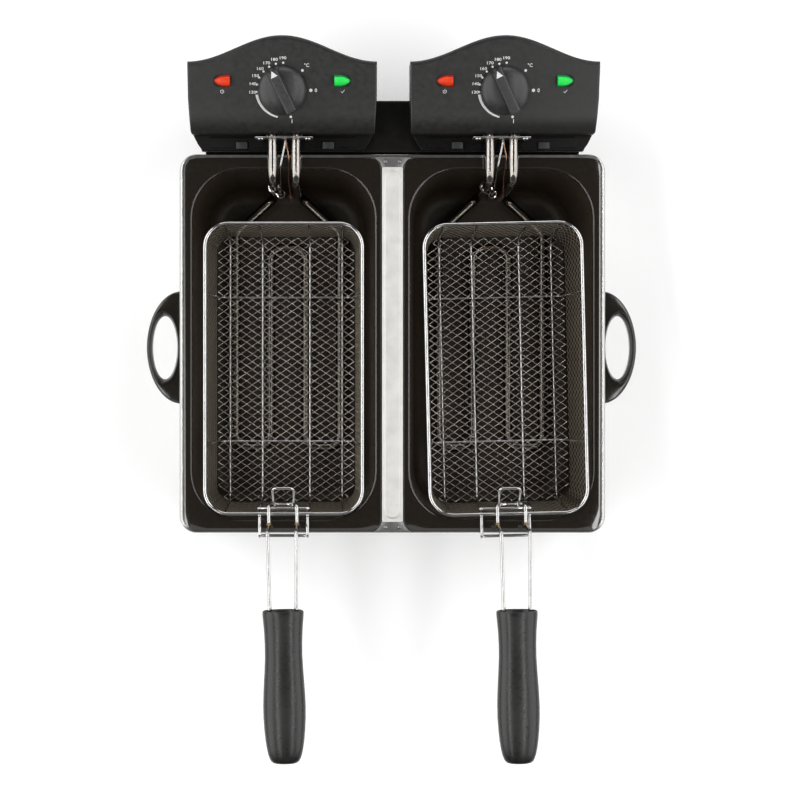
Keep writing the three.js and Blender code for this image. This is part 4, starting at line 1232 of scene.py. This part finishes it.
for bay in BAYS:
    side = bay["side"]
    at = shift(Box(f"pan_{side}").middle.x)

    def add(name, shape, materials, body, crease=35, place=at, replaced=True):
        """Adds a piece of this side; it replaces the CAD node of its own name."""
        add_piece(f"{name}_{side}_look", shape.moved(place), materials, f"{side}_{body}",
                  [f"{name}_{side}"] if replaced else (), crease)

    def add_to_head(name, shape, materials, crease=35, place=at, replaced=True):
        add(name, shape, materials, "control", crease, place, replaced)

    add("pan", pan(-bay["inward"]), [ENAMEL, ENAMEL_PAINTED_LIGHT], "pan", 50)
    add_to_head("control_cover", control_cover(bay["inward"]), COVER, 50)
    add_to_head("control_base", control_base(bay["inward"]),
                [BASE_PLASTIC_SHADED, LUG_TOP_PAINTED_LIGHT, DARK_STEEL])
    heater = at @ shift(ELEMENT_SHIFT * bay["inward"])
    add_to_head("element_bracket", BRACKET_SHAPE, PLATE_STEEL, place=heater)
    for x in (-BRACKET["screw_x"], BRACKET["screw_x"]):
        name = "bracket_screw_" + ("inner" if x * bay["inward"] > 0 else "outer")
        screw = SCREW_SHAPE.moved(shift(x, BRACKET["y"], TUBE_Z) @ turn(90, "X"))
        add_to_head(name, screw, [CHROME, SHADOW_GAP], place=heater)
    add_to_head("heating_element", ELEMENT_SHAPE, [ELEMENT_STEEL, ELEMENT_STEEL_LOWER],
                60, heater)
    add_to_head("sensor_clip", CLIP_SHAPE, ELEMENT_STEEL, place=heater)
    add_to_head("thermostat_bulb", capillary("thermostat", THERMO_ROUTE, 1.9), STEEL,
                50, heater)
    add_to_head("cutout_bulb", capillary("cutout", CUTOUT_ROUTE, 1.0), COPPER,
                50, heater)
    add_to_head("power_lens", lens(-1), [RED, RED_PAINTED_HIGHLIGHT], 20)
    add_to_head("ready_lens", lens(1), [GREEN, GREEN_PAINTED_HIGHLIGHT], 20)
    add_to_head("lens_seats", lens_seats(), SHADOW_GAP, replaced=False)
    add_to_head("dial_print", PRINT_SHAPE, PRINT, replaced=False)
    add_to_head("cord_gland", GLAND_SHAPE, BASE_PLASTIC_SHADED)
    add("knob", KNOB_SHAPE, [KNOB_PLASTIC, PRINT], "knob", 40, at @ ON_PANEL)
    for node in ("thermostat", "safety_switch"):
        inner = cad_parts[f"{node}_{side}"]
        inner.data.materials.clear()
        inner.data.materials.append(CREAM)

    bx, angle = bay["basket"]
    basket = at @ shift(bx, BASKET["y"]) @ turn(angle)
    from_middle = basket @ shift(0, -BASKET["y"])
    add("basket_mesh", WEAVE_SHAPE, [WALL_WEAVE_PAINTED_LIGHT, FLOOR_WIRE], "basket", 80, basket)
    for name, shape, place in (("basket_frame", FRAME_SHAPE, basket),
                               ("basket_hook", basket_hook(bay["hook"]), from_middle),
                               ("handle_catch", CATCH_SHAPE, from_middle)):
        add(name, shape, CHROME, "basket", 60, place)
    hx, angle = bay["handle"]
    handle = basket @ shift(hx, HINGE_Y - BASKET["y"]) @ turn(angle)
    add("handle_wire", WIRE_SHAPE, [CHROME, BEAD_PAINTED_REFLECTION], "handle", 60, handle)
    add("handle_grip", GRIP_SHAPE, GRIP_PLASTIC, "handle", 50, handle)

# ---- Floor, light and camera -------------------------------------------------------------------
FLOOR = finish("studio_floor", (246, 246, 246), (250, 250, 250), (0.8, 0.9), 0, 3,
               Emission_Color=linear((255, 255, 255)), Emission_Strength=0.12)
FLOOR_HALF = 12
floor_mesh = bpy.data.meshes.new("studio_floor")
floor_corners = [(-FLOOR_HALF, -FLOOR_HALF, 0), (FLOOR_HALF, -FLOOR_HALF, 0),
                 (FLOOR_HALF, FLOOR_HALF, 0), (-FLOOR_HALF, FLOOR_HALF, 0)]
floor_mesh.from_pydata(floor_corners, [], [(0, 1, 2, 3)])
floor_mesh.materials.append(FLOOR)
floor = linked("studio_floor", floor_mesh)

world = bpy.data.worlds.new("studio")
world.use_nodes = True
sky = world.node_tree.nodes["Background"].inputs
sky["Color"].default_value = (1, 1, 1, 1)
sky["Strength"].default_value = 0.1
bpy.context.scene.world = world


HEART = Vector((0, 0.02, 0.12))  # the point that every light faces
# name, place, width and height in metres, and radiance
SOFTBOXES = (
    ("left_softbox", (-1.75, 0.1, 1.15), 3.2, 1.6, 2.3),
    ("right_softbox", (1.75, 0.1, 1.15), 3.2, 1.6, 2.0),
    ("left_strip", (-0.8, -0.1, 1.8), 2.4, 0.14, 9.5),
    ("right_strip", (0.8, -0.1, 1.8), 2.4, 0.14, 9.5),
    ("back_softbox", (0.0, 2.6, 1.7), 2.4, 1.0, 3.2),
    ("front_softbox", (0.0, -0.9, 2.5), 1.6, 0.4, 0.9),
)
for name, place, width, height, radiance in SOFTBOXES:
    data = bpy.data.lights.new(name, "AREA")
    data.shape = "RECTANGLE"
    data.size, data.size_y = width, height
    data.energy = radiance * math.pi * width * height
    lamp = linked(name, data)
    lamp.location = place
    lamp.rotation_euler = (HEART - Vector(place)).to_track_quat("-Z", "Y").to_euler()
    lamp.visible_camera = False

camera_data = bpy.data.cameras.new("camera")
camera_data.sensor_width = 36
camera_data.lens = 78
camera_data.shift_x = 0.075
camera_data.shift_y = -0.01875
camera_data.clip_start = 0.05
camera_data.clip_end = 60
camera = linked("camera", camera_data)
camera.location = (-0.04725, 0.01242, 1.7103)  # straight above, as the perspective shows
bpy.context.scene.camera = camera
bpy.context.scene.view_settings.view_transform = "Standard"
